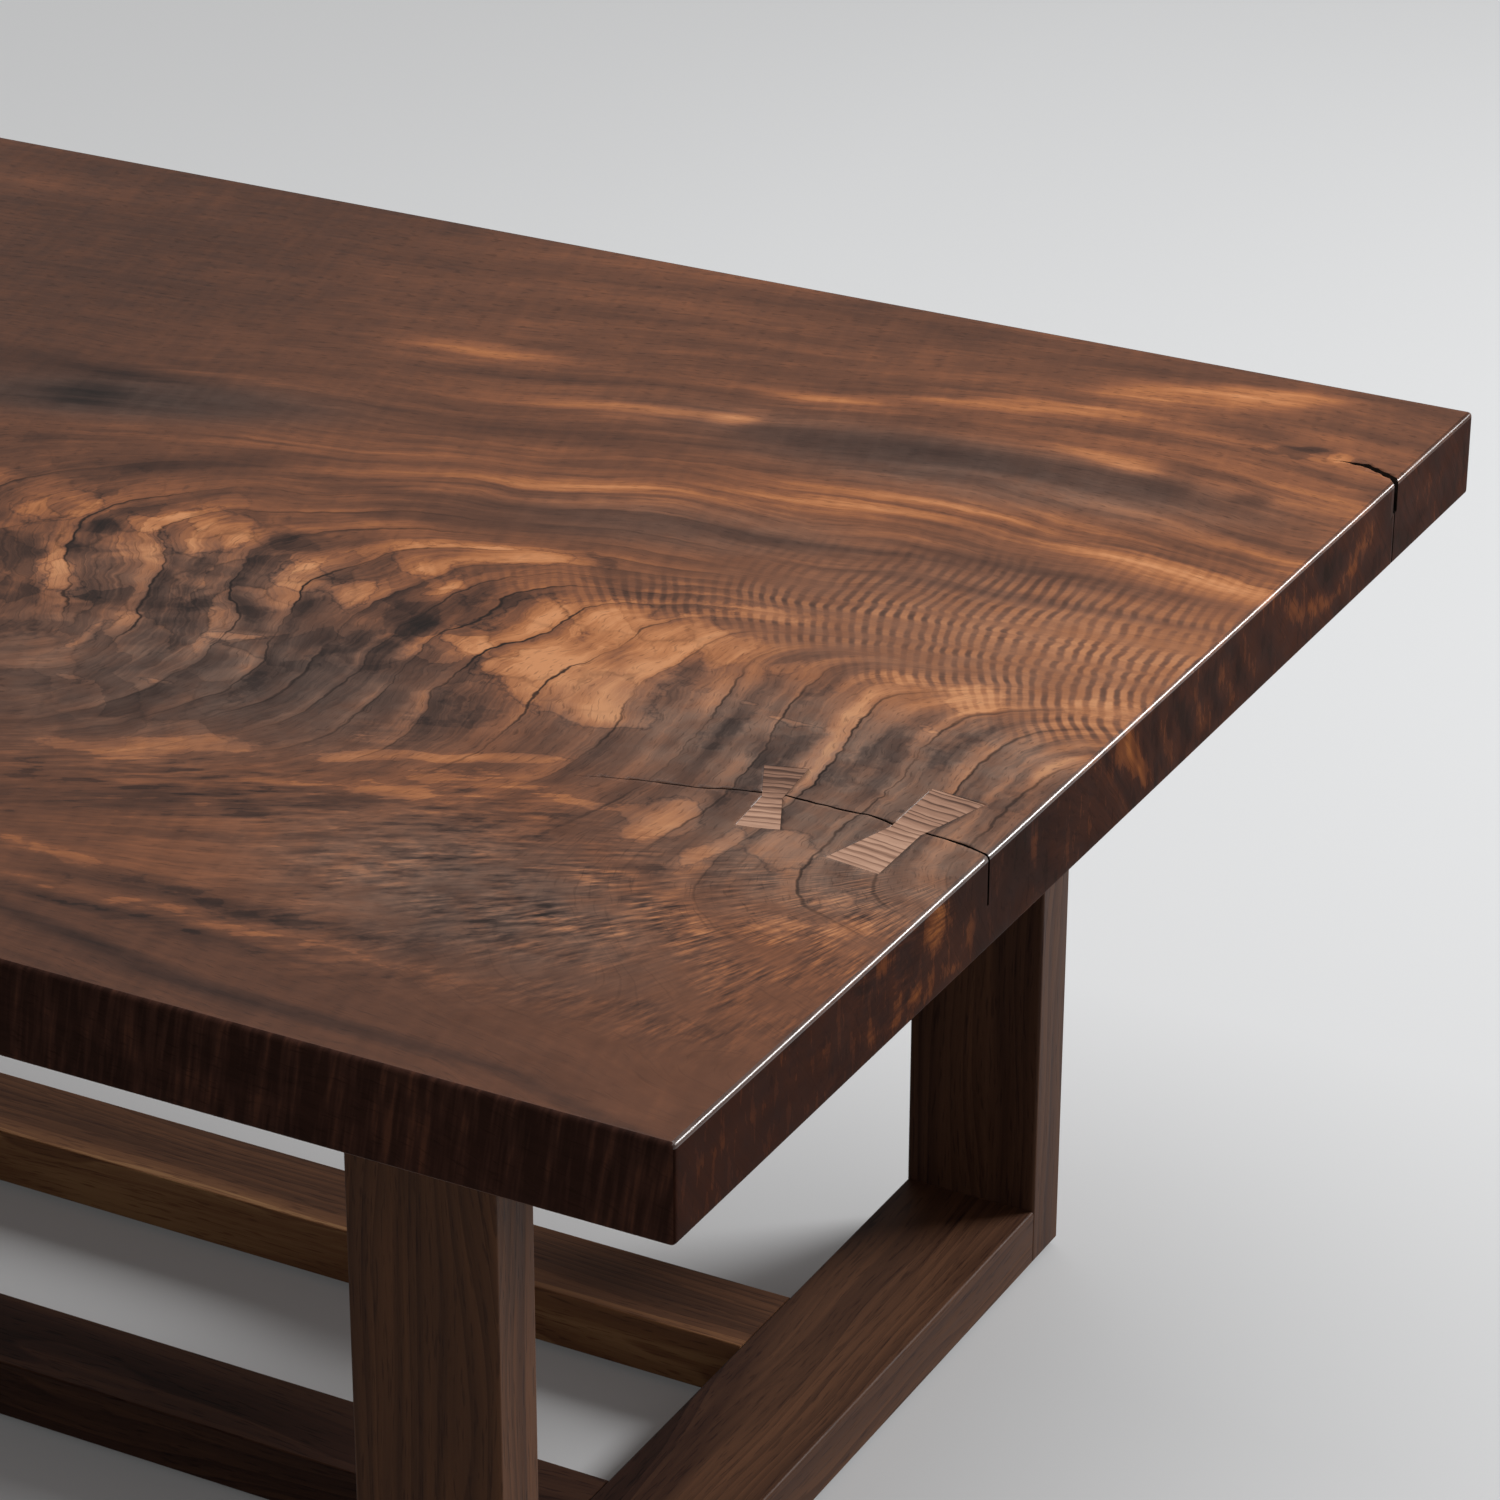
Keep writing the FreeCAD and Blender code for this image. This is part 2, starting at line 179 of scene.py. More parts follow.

# Patches of the top that shine orange (above nought) or stay dark, with ragged edges. They are the wood's own
# figure, and the orange shine of the fibres is partly a painted sheen.
LIGHT_AND_DARK = (
    (395, 25, 28, 9, 17, 0.42), (367, 0, 15, 12, 0, 0.42), (360, -40, 9, 10, 0, 0.5),
    (389, -18, 4, 18, 0, 0.3), (438, -26, 16, 19, 0, 0.4), (423, -56, 11, 10, 0, 0.34),
    (468, -8, 13, 16, 0, 0.6), (499, -20, 15, 19), (482, -68, 38, 26, -25, 0.88),
    (455, -58, 16, 14, 0, 0.45), (505, -94, 20, 9, 0, 0.5), (527, -20, 7, 20, 0, 0.42),
    (522, 24, 34, 8, 14, 0.26), (635, -10, 16, 12, 35, 0.4), (600, -8, 14, 7, 30, 0.2),
    (685, 4, 20, 18, 30, 0.2), (555, -22, 6, 16, 0, 0.22), (606, -66, 3, 30, 0, 0.06),
    (652, -74, 3, 26, 0, 0.06), (572, -62, 26, 2.5, -8, 0.24), (636, -46, 16, 2.5, -5, 0.2),
    (196, -20, 16, 15, -20, 0.44), (235, -20, 10, 9, 0, 0.34), (268, -14, 22, 20, -10, 0.46),
    (330, -35, 13, 15, -20, 0.38), (240, -84, 26, 5, -45, 0.34), (340, -101, 14, 3, 26, 0.34),
    (306, -168, 7, 3, 30, 0.3), (334, -151, 9, 3, 5, 0.26), (285, -130, 4, 26, -10, 0.22),
    (372, -203, 46, 9, 26, 0.46), (445, -175, 18, 5, 27, 0.42), (486, -153, 30, 4, 24, 0.5),
    (468, -196, 20, 8, 27, 0.4), (486, -171, 24, 5, 25, 0.26), (538, -168, 30, 6, 10, 0.3),
    (577, -165, 12, 19, 15, 0.46), (629, -163, 14, 15, 0, 0.38), (605, -182, 5, 24, 0, 0.3),
    (470, -318, 85, 4.5, 3, 0.22), (400, -296, 44, 5, 5, 0.2), (655, -222, 16, 9, 20, 0.24),
    (686, -212, 12, 10, 0, 0.26), (664, -196, 8, 8, 0, 0.16), (670, 297, 5, 6, 0, 0.6),
    (395, -50, 13, 16, 0, -0.56), (403, -20, 10, 13, 0, -0.2), (395, -88, 22, 24, 0, -0.24),
    (560, -88, 10, 22, 0, -0.24), (590, -86, 13, 20, 0, -0.22), (623, -80, 12, 32, 0, -0.24),
    (649, -56, 8, 34, 0, -0.22), (688, -88, 12, 26, 0, -0.2), (575, -36, 12, 14, 0, -0.12),
    (226, -34, 12, 10, 0, -0.32), (306, -6, 16, 10, 0, -0.26), (222, -62, 12, 10, 0, -0.22),
    (300, -72, 26, 18, -30, -0.18), (340, -72, 12, 20, 0, -0.18), (255, -132, 20, 22, 0, -0.18),
    (452, -120, 30, 20, 0, -0.14), (375, -128, 10, 30, 0, -0.18), (520, -200, 32, 12, 20, -0.1),
    (560, -275, 14, 30, -20, -0.06), (470, -305, 64, 6, 3, -0.19), (440, -328, 76, 2.5, 1, -0.17),
    (437, 39, 12, 8, 0, -0.22), (648, 295, 8, 5, -25, -0.36), (657, 299, 6, 4, 15, -0.4),
    (634, 291, 15, 3, 5, -0.22), (654, 288, 5, 3, 0, -0.26), (600, -206, 18, 6, 0, -0.16),
    (590, -130, 9, 30, 5, -0.14), (640, -110, 7, 26, 0, -0.12),
)

# The same on the right end, with places across the slab and heights
END_LIGHT_AND_DARK = (
    (-179, 413, 9, 9, 20, 0.6), (-222, 418, 7, 4, 0, 0.25), (-234, 394, 3, 7, 0, 0.3),
    (-212, 390, 5, 9, -30, 0.25), (-196, 391, 5, 9, -30, 0.35), (-184, 390, 4, 8, -30, 0.3),
    (-150, 398, 5, 7, -20, 0.42), (-164, 388, 5, 4, 0, 0.3), (-126, 412, 4, 9, 0, 0.2),
    (-94, 409, 3.5, 10, 5, 0.4), (-108, 412, 8, 10, 0, -0.18), (-84, 392, 12, 8, 0, -0.12),
    (-55, 400, 18, 20, 0, 0.12), (-9, 415, 9, 9, 0, 0.55), (0, 405, 5, 12, 38, 0.5),
    (12, 394, 4, 10, 40, 0.35), (32, 400, 4, 14, 35, 0.22), (22, 408, 4, 9, 30, -0.2),
    (50, 402, 4, 16, 35, -0.28), (66, 400, 5, 16, 35, 0.2), (80, 402, 4, 16, 35, -0.22),
    (94, 400, 5, 16, 35, 0.18), (107, 402, 4, 16, 38, -0.2), (120, 402, 6, 16, 40, 0.16),
    (163, 408, 20, 5, -35, 0.26), (196, 396, 26, 5.5, -12, 0.28), (140, 398, 5, 16, 42, -0.16),
    (234, 400, 22, 6, 18, 0.26), (212, 408, 18, 4.5, 0, -0.3), (268, 391, 24, 5, 8, -0.2),
    (250, 410, 14, 7, 20, 0.16), (330, 404, 26, 8, -8, 0.14), (-300, 400, 100, 40, 0, 0.07),
    (310, 392, 24, 5, 12, -0.16), (360, 396, 14, 10, 0, -0.1), (-340, 404, 40, 3, 4, 0.08),
    (-280, 396, 34, 3, -6, -0.1), (-310, 410, 30, 3, 3, -0.08), (-250, 408, 22, 3, 8, 0.1),
)

# Where each kind of figure lies on the top
ZONES = {
    "curl": (
        (640, 50, 120, 50, 6, 0.85), (560, 38, 70, 30, 12), (685, 5, 50, 34, 20),
        (480, 18, 60, 20, 15, 0.6), (620, 8, 60, 22, 10, 0.8), (680, 130, 70, 40, 0, 0.22),
        (420, 10, 60, 14, 20, 0.3), (612, 88, 104, 32, 4, 0.6),
    ),
    "crotch": (
        (270, -70, 130, 90), (440, -45, 90, 70, 0, 0.8), (110, -60, 110, 90), (340, -170, 70, 50, 0, 0.6),
    ),
    "fan": (
        (655, -225, 55, 45, -20), (590, -240, 60, 50), (520, -240, 60, 50, 20, 0.7), (680, -190, 26, 30),
        (640, -290, 70, 30, 0, 0.6), (540, -290, 70, 40, 0, 0.4),
    ),
    "flecks": (
        (470, -200, 90, 34, 20), (400, -230, 90, 40, 20), (520, -250, 110, 50, 10, 0.7),
        (330, -260, 120, 50, 10, 0.7), (500, -322, 110, 16, 2, 0.6), (430, -160, 40, 20, 20, 0.5),
    ),
    "crisp": (
        (440, -60, 90, 110), (330, -70, 100, 110), (600, -100, 120, 80), (240, -60, 100, 90),
        (640, -190, 50, 40, 0, 0.9), (600, 75, 140, 20, 6, 0.35), (120, -60, 100, 90, 0, 0.9),
        (400, 20, 80, 30, 15, 0.7), (-370, -82, 380, 80, 0, 0.8), (-400, -290, 420, 70, 0, 0.3),
    ),
    "calm": (
        (610, -290, 120, 70), (530, -250, 60, 50, 0, 0.6), (680, -300, 80, 100),
        (620, -240, 60, 40, 0, 0.5), (640, 60, 110, 60, 5, 0.7),
    ),
    # The grey clouds are partly the wood's own grey and partly a painted sheen, paler and greyer near the
    # keys
    "grey": (
        (360, -130, 100, 60, 0, 0.8), (600, -90, 110, 60, 0, 0.9), (620, -200, 60, 30, 0, 0.3),
        (150, 100, 90, 24, 18, 0.7), (540, 205, 120, 30, 4, 0.6), (300, -70, 80, 50, 0, 0.5),
        (460, 90, 90, 26, 12, 0.4), (660, -60, 50, 40, 0, 0.9), (620, 40, 130, 90, 0, 0.4),
        (650, -150, 90, 66, 0, 0.9), (320, -150, 90, 70, 0, 0.6), (545, -255, 90, 50, -10, 0.7),
        (-480, 260, 200, 60, 5, 0.5), (520, 214, 130, 26, 4, 0.5),
    ),
}


@dataclass(frozen=True)
class Patch:
    """A soft oval on the top, with its half sizes, its turn in degrees and how strong it is in the middle."""

    x: float
    y: float
    half_x: float
    half_y: float
    turn: float = 0.0
    strength: float = 1.0

    def spread(self, x: np.ndarray, y: np.ndarray) -> np.ndarray:
        """How much of the patch lies at each place, from its full strength down to nothing.

        Args:
            x: Places along the slab.
            y: Places across the slab.

        Returns:
            One value for each place.
        """
        turn = math.radians(self.turn)
        along = (x - self.x) * math.cos(turn) + (y - self.y) * math.sin(turn)
        across = (y - self.y) * math.cos(turn) - (x - self.x) * math.sin(turn)
        reach = (along / self.half_x) ** 2 + (across / self.half_y) ** 2
        return self.strength * np.exp(-reach ** 1.5 * 0.9)


def spreads(rows: Sequence[tuple[float, ...]], x: np.ndarray, y: np.ndarray) -> np.ndarray:
    """How much of each patch in a table lies at each place, one row for each patch."""
    return np.array([Patch(*row).spread(x, y) for row in rows])


def linear(code: str) -> Colour:
    """Turns an sRGB hex code into a linear colour.

    Args:
        code: Six hex digits, red, green and blue.

    Returns:
        The linear colour with full opacity.
    """
    parts = [int(code[i:i + 2], 16) / 255 for i in (0, 2, 4)]
    red, green, blue = (c / 12.92 if c <= 0.04045 else ((c + 0.055) / 1.055) ** 2.4 for c in parts)
    return red, green, blue, 1.0


def add(tree: bpy.types.NodeTree, kind: str, *values: object, out: str = "", ramp: Ramp = (),
        **named: object) -> Socket | None:
    """Adds one shader node with its settings, its values and its links.

    Args:
        tree: The tree that gets the node.
        kind: The node's type without its first word ShaderNode, and after a space its operation.
        *values: A value or another node's output for each input in use, in Blender's order.
        out: The output that is wanted, where it isn't the first one in use.
        ramp: The stops of a colour ramp, as place and hex code.
        **named: The node's own properties and, with a capital letter, inputs by their name.

    Returns:
        The wanted output, if the node has one.
    """
    kind, _, operation = kind.partition(" ")
    node = tree.nodes.new("ShaderNode" + kind)
    if operation:
        node.operation = operation
    for name, value in named.items():
        if name.islower():
            setattr(node, name, value)
    inputs = list(zip([socket for socket in node.inputs if socket.enabled], values))
    inputs += [(node.inputs[name.replace("_", " ")], named[name]) for name in named if not name.islower()]
    for socket, value in inputs:
        if isinstance(value, Socket):
            tree.links.new(value, socket)
        else:
            socket.default_value = value
    if ramp:
        stops = node.color_ramp.elements
        while len(stops) < len(ramp):
            stops.new(0.5)
        for stop, (place, code) in zip(stops, ramp):
            stop.position, stop.color = place, linear(code)
    return node.outputs[out] if out else next((socket for socket in node.outputs if socket.enabled), None)


def new_material(name: str) -> tuple[bpy.types.Material, Callable[..., Socket], Socket]:
    """Makes an empty node material.

    Args:
        name: What the material is, and how its surface was made.

    Returns:
        The material, the function that adds a node to it, and the object's coordinates.
    """
    material = bpy.data.materials.new(name)
    material.use_nodes = True
    material.node_tree.nodes.clear()
    put = partial(add, material.node_tree)
    return material, put, put("TexCoord", out="Object")


def only(*pieces: bpy.types.Object) -> None:
    """Selects some pieces and nothing else.

    Args:
        *pieces: The pieces. The first one becomes active.
    """
    bpy.ops.object.select_all(action="DESELECT")
    for piece in pieces:
        piece.select_set(True)
    bpy.context.view_layer.objects.active = pieces[0]


def new_piece(name: str, primitive: Callable[..., set[str]], **shape: object) -> bpy.types.Object:
    """Adds a primitive.

    Args:
        name: The name of the piece that it becomes.
        primitive: The operator that adds it.
        **shape: What the operator takes, such as sizes in metres.

    Returns:
        The new piece, which alone is selected.
    """
    bpy.ops.object.select_all(action="DESELECT")
    primitive(**shape)
    piece = bpy.context.object
    piece.name = piece.data.name = name
    return piece


def pick(piece: bpy.types.Object, kind: str = "VERT",
         choose: Callable[[bpy.types.Mesh], np.ndarray] | None = None) -> None:
    """Selects some of a piece's points, edges or faces and leaves it in edit mode.

    Args:
        piece: The piece to work on.
        kind: VERT, EDGE or FACE.
        choose: Gives one truth value for each of them in the up-to-date mesh. Without it, all are selected.
    """
    if bpy.context.object is not None and bpy.context.object.mode != "OBJECT":
        bpy.ops.object.mode_set(mode="OBJECT")
    only(piece)
    mesh = piece.data
    groups = {"VERT": mesh.vertices, "EDGE": mesh.edges, "FACE": mesh.polygons}
    wanted = choose(mesh) if choose else np.ones(len(groups[kind]), dtype=bool)
    for items in groups.values():
        items.foreach_set("select", np.zeros(len(items), dtype=bool))
    groups[kind].foreach_set("select", wanted)
    bpy.ops.object.mode_set(mode="EDIT")
    bpy.ops.mesh.select_mode(type=kind)


def sink(depth: float) -> None:
    """Gives the sheet that is in edit mode a thickness.

    Args:
        depth: How far it goes down.
    """
    bpy.ops.mesh.select_all(action="SELECT")
    bpy.ops.mesh.extrude_region_move(TRANSFORM_OT_translate={"value": (0, 0, -depth * MM)})
    bpy.ops.mesh.select_all(action="SELECT")
    bpy.ops.mesh.normals_make_consistent(inside=False)


def rows_of(items: bpy.types.bpy_prop_collection, name: str, width: int, kind: type) -> np.ndarray:
    """Reads one property of all points, edges or faces of a mesh.

    Args:
        items: The points, edges or faces.
        name: The property.
        width: How many numbers it has.
        kind: What kind of numbers they are.

    Returns:
        One row for each of them.
    """
    flat = np.empty(len(items) * width, dtype=kind)
    items.foreach_get(name, flat)
    return flat.reshape(-1, width)


def points_of(mesh: bpy.types.Mesh) -> np.ndarray:
    """The places of a mesh's points in millimetres, one row each."""
    return rows_of(mesh.vertices, "co", 3, float) / MM


def edges_of(mesh: bpy.types.Mesh) -> np.ndarray:
    """The places of both ends of a mesh's edges in millimetres."""
    return points_of(mesh)[rows_of(mesh.edges, "vertices", 2, np.int32)]


def normals_of(mesh: bpy.types.Mesh) -> np.ndarray:
    """The normals of a mesh's faces, one row each."""
    return rows_of(mesh.polygons, "normal", 3, float)


def carve(piece: bpy.types.Object, cutters: Sequence[bpy.types.Object]) -> None:
    """Cuts the cutters' shapes out of a piece, one by one, and removes the cutters.

    Args:
        piece: The piece to cut.
        cutters: Closed solids.
    """
    for cutter in cutters:
        only(piece)
        cut = piece.modifiers.new("cut", "BOOLEAN")
        cut.operation, cut.solver, cut.object, cut.material_mode = "DIFFERENCE", "EXACT", cutter, "TRANSFER"
        bpy.ops.object.modifier_apply(modifier=cut.name)
        bpy.data.objects.remove(cutter)


def thin_plate(lines: Sequence[tuple[float, Sequence[Point]]], x: np.ndarray, y: np.ndarray) -> np.ndarray:
    """A smooth surface whose height on each line is the line's number.

    Args:
        lines: Numbered lines, each with its points.
        x: Places along the slab.
        y: Places across the slab.

    Returns:
        The surface's height at each place.
    """
    unit, give, tiny, step = 100.0, 0.02, 1e-12, 20000
    knots = np.array([point for _, line in lines for point in line]) / unit
    heights = np.array([float(number) for number, line in lines for _ in line])
    count = len(knots)
    square = ((knots[:, None] - knots[None]) ** 2).sum(-1)
    system = np.zeros((count + 3, count + 3))
    system[:count, :count] = 0.5 * square * np.log(square + tiny) + give * np.eye(count)
    system[:count, count:] = np.column_stack([np.ones(count), knots])
    system[count:, :count] = system[:count, count:].T
    weights = np.linalg.solve(system, np.concatenate([heights, np.zeros(3)]))
    places = np.stack([x.ravel(), y.ravel()], -1) / unit
    surface = np.empty(len(places))
    for start in range(0, len(places), step):
        part = places[start:start + step]
        square = ((part[:, None] - knots[None]) ** 2).sum(-1)
        bend = (0.5 * square * np.log(square + tiny)) @ weights[:count]
        surface[start:start + step] = bend + weights[-3] + part @ weights[-2:]
    return surface.reshape(x.shape)


@dataclass
class Figure:
    """The figure of the slab, worked out on a fine net over its top and read at any place.

    The net holds the ring number, the distance between two rings and the length along them. Below the top the
    rings slant, as they do in a log, and the right end shows only a share of some zones.
    """

    half_length: float = 740.0
    half_width: float = 420.0
    cell: float = 5.0
    ripple_length: float = 6.2
    fan_centre: Point = (705.0, -135.0)
    sink_along: float = -0.35
    sink_across: float = 0.8
    shares_on_end: tuple[tuple[str, float], ...] = (
        ("curl", 0.5), ("shade", 0.2), ("crisp", 0.3), ("grey", 0.4))

    def __post_init__(self) -> None:
        """Works out the net."""
        xs = np.arange(-self.half_length, self.half_length + 1, self.cell)
        ys = np.arange(-self.half_width, self.half_width + 1, self.cell)
        self.ring = thin_plate(RINGS, *np.meshgrid(xs, ys))
        slope_y, slope_x = np.gradient(self.ring, self.cell)
        slope = np.hypot(slope_x, slope_y) + 1e-6
        self.gap = np.clip(1 / slope, 5, 90)
        self.along = self.follow(slope_y / slope, -slope_x / slope)

    def follow(self, flow_x: np.ndarray, flow_y: np.ndarray) -> np.ndarray:
        """Lengths along the rings that agree best with the way the rings run, from a Poisson equation.

        Args:
            flow_x: The rings' direction along the slab.
            flow_y: The rings' direction across the slab.

        Returns:
            The length at each point of the net.
        """
        step_x = (flow_x[:, 1:] + flow_x[:, :-1]) / 2 * self.cell
        step_y = (flow_y[1:] + flow_y[:-1]) / 2 * self.cell
        source = np.zeros_like(flow_x)
        source[:, 1:] += step_x
        source[:, :-1] -= step_x
        source[1:] += step_y
        source[:-1] -= step_y
        rows, columns = source.shape
        mirrored = np.block([[source, source[:, ::-1]], [source[::-1], source[::-1, ::-1]]])
        wave_y, wave_x = (2 - 2 * np.cos(np.pi * np.arange(2 * count) / count) for count in (rows, columns))
        both = wave_y[:, None] + wave_x[None]
        both[0, 0] = 1.0
        spectrum = np.fft.fft2(mirrored) / both
        spectrum[0, 0] = 0.0
        return np.real(np.fft.ifft2(spectrum))[:rows, :columns]

    def read(self, net: np.ndarray, x: np.ndarray, y: np.ndarray) -> np.ndarray:
        """Reads a net between its points.

        Args:
            net: Values on the net.
            x: Places along the slab.
            y: Places across the slab.

        Returns:
            One value for each place.
        """
        column = np.clip((x + self.half_length) / self.cell, 0, net.shape[1] - 1.001)
        row = np.clip((y + self.half_width) / self.cell, 0, net.shape[0] - 1.001)
        c, r = column.astype(int), row.astype(int)
        u, v = column - c, row - r
        near = net[r, c] * (1 - u) + net[r, c + 1] * u
        far = net[r + 1, c] * (1 - u) + net[r + 1, c + 1] * u
        return near * (1 - v) + far * v

    def mark(self, mesh: bpy.types.Mesh) -> None:
        """Writes the figure on a mesh as point attributes.

        Args:
            mesh: The slab's mesh.
        """
        side_x, side_y, z = points_of(mesh).T
        x = side_x + self.sink_along * (z - TOP_HEIGHT)
        y = side_y + self.sink_across * (z - TOP_HEIGHT)
        values = {name: spreads(rows, x, y).max(0) for name, rows in ZONES.items()}
        bent_x = x + 3 * np.sin(y / 8 + x / 31)
        bent_y = y + 2.6 * np.sin(x / 12 + y / 23) + 1.2 * np.sin(x / 5.3)
        values["tone"] = spreads(LIGHT_AND_DARK, bent_x, bent_y).sum(0)
        # Broad tone of the top, partly the wood's own and partly painted light and shade
        values["shade"] = spreads(TONE_AND_PAINTED_LIGHT, x, y).sum(0)
        on_end = side_x > RIGHT_END - 0.05
        values["tone"][on_end] = spreads(END_LIGHT_AND_DARK, side_y, z).sum(0)[on_end]
        for name, share in self.shares_on_end:
            values[name][on_end] *= share
        for name in ("ring", "gap", "along"):
            values[name] = self.read(getattr(self, name), x, y)
        values["ripple"] = self.ripples(x, y)
        out_x, out_y = x - self.fan_centre[0], y - self.fan_centre[1]
        values["ray"] = np.arctan2(-out_y, -out_x)
        values["reach"] = np.hypot(out_x, out_y)
        for name, value in values.items():
            mesh.attributes.new(name, "FLOAT", "POINT").data.foreach_set("value", value.astype(np.float32))

    def ripples(self, x: np.ndarray, y: np.ndarray) -> np.ndarray:
        """Counts the ripples of curly grain.

        They lean over more and more towards the front, less near the right end, and a little at the back.

        Args:
            x: Places along the slab.
            y: Places across the slab.

        Returns:
            The number of the ripple at each place.
        """
        in_front, behind = np.clip(75 - y, 0, 110), np.clip(y - 80, 0, 200)
        bow = 0.0058 - 0.0024 * np.clip((x - 500) / 160, 0, 1)
        return (x - (bow * in_front ** 2 - 0.1 * behind)) / self.ripple_length


@dataclass(frozen=True)
class FiguredWalnut:
    """Oiled claro walnut with crotch figure, sawn, planed and rubbed with hard wax oil to a satin.

    The eye gets dark ring lines that sweep round the crotch, shining orange patches between them, fine
    ripples across the grain, smoky grey brown clouds, and thin dark pores. The orange shine and the grey
    clouds are partly a painted sheen, and the broad tone of the top is partly painted light and shade.
    """

    name: str = "oiled_figured_walnut"
    warm: Ramp = (
        (0.0, "1c110d"), (0.16, "34211a"), (0.32, "523528"), (0.46, "6e4632"), (0.6, "8d583b"),
        (0.74, "ad6d43"), (0.88, "c68253"), (1.0, "d89464"))
    grey: Ramp = (
        (0.0, "1b1411"), (0.2, "392c27"), (0.4, "5b4a42"), (0.6, "7e6658"), (0.8, "a67d66"), (1.0, "cc9871"))
    line: str = "21130d"
    roughness: float = 0.34
    gloss: float = 0.18
    base_tone: float = 0.43
    contrast: float = 1.0
    stripes: float = 0.0
    line_strength: float = 1.0
    fray: float = 60.0
    upright: float = 1.0
    tear: float = 0.14
    dulled: float = 0.0
    relief: float = 0.12

    def material(self) -> bpy.types.Material:
        """Makes the material from the figure's attributes and the object's coordinates.

        Returns:
            The material.
        """
        material, put, place = new_material(self.name)
        pattern = WalnutPattern(self, put, place)
        broad, thin = pattern.streaks()
        cells, seams = pattern.cells()
        pores = pattern.pores()
        mottle = put("TexNoise", place, 75.0, 4.0, 0.6)

        # Each part of the pattern, with its weight and the value at which it changes nothing
        uneven = put("MapRange", broad, -0.14, 0.14, 0.45, 1.55)
        # The broad tone starts from the shade attribute, which is partly painted light and shade
        tone = put("Math MULTIPLY_ADD", pattern.read["shade"], uneven, self.base_tone)
        for part, weight, centre in (
                (pattern.ragged(), 1.0, 0.0), (mottle, 0.14, 0.5), (broad, 0.42, 0.0), (thin, 0.46, 0.0),
                (pattern.lightening(), 0.7, 0.0), (cells, 0.27, 0.0), (pattern.curl(), 0.19, 0.0),
                (pattern.rays(), 0.3, 0.0), (pattern.flecks(), 0.21, 0.0), (pattern.swirls(), 0.1, 0.0),
                (pattern.shimmer(), 0.09, 0.5), (pattern.upright_stripes(), self.stripes, 0.0)):
            part = put("Math SUBTRACT", part, centre)
            tone = put("Math MULTIPLY_ADD", part, weight * self.contrast, tone)

        warm = put("ValToRGB", tone, ramp=self.warm)
        grey = put("ValToRGB", tone, ramp=self.grey)
        # Grey clouds mixed in, partly the wood's own and partly a painted sheen
        greyness_and_painted_sheen = put("MapRange", mottle, 0.35, 0.6, 0.6, 1.0)
        greyness_and_painted_sheen = put("Math MULTIPLY", greyness_and_painted_sheen, pattern.read["grey"])
        colour = put("Mix", greyness_and_painted_sheen, warm, grey, data_type="RGBA")
        for dark in (put("Math MAXIMUM", pattern.ring_line(), seams), pores):
            colour = put("Mix", dark, colour, linear(self.line), data_type="RGBA")

        rough = put("MapRange", mottle, 0.3, 0.7, self.roughness - 0.05, self.roughness + 0.07)
        height = put("Math SUBTRACT", thin, pores)
        bump = put("Bump", Strength=self.relief, Distance=0.4 * MM, Height=height)
        gloss = self.gloss
        if self.dulled:
            towards_back = put("SeparateXYZ", place, out="Y")
            gloss = put("MapRange", towards_back, -0.05, 0.38, self.gloss, self.gloss - self.dulled)
        put("OutputMaterial", put("BsdfPrincipled", Base_Color=colour, Roughness=rough, Normal=bump, IOR=1.5,
                                  Specular_IOR_Level=gloss))
        return material


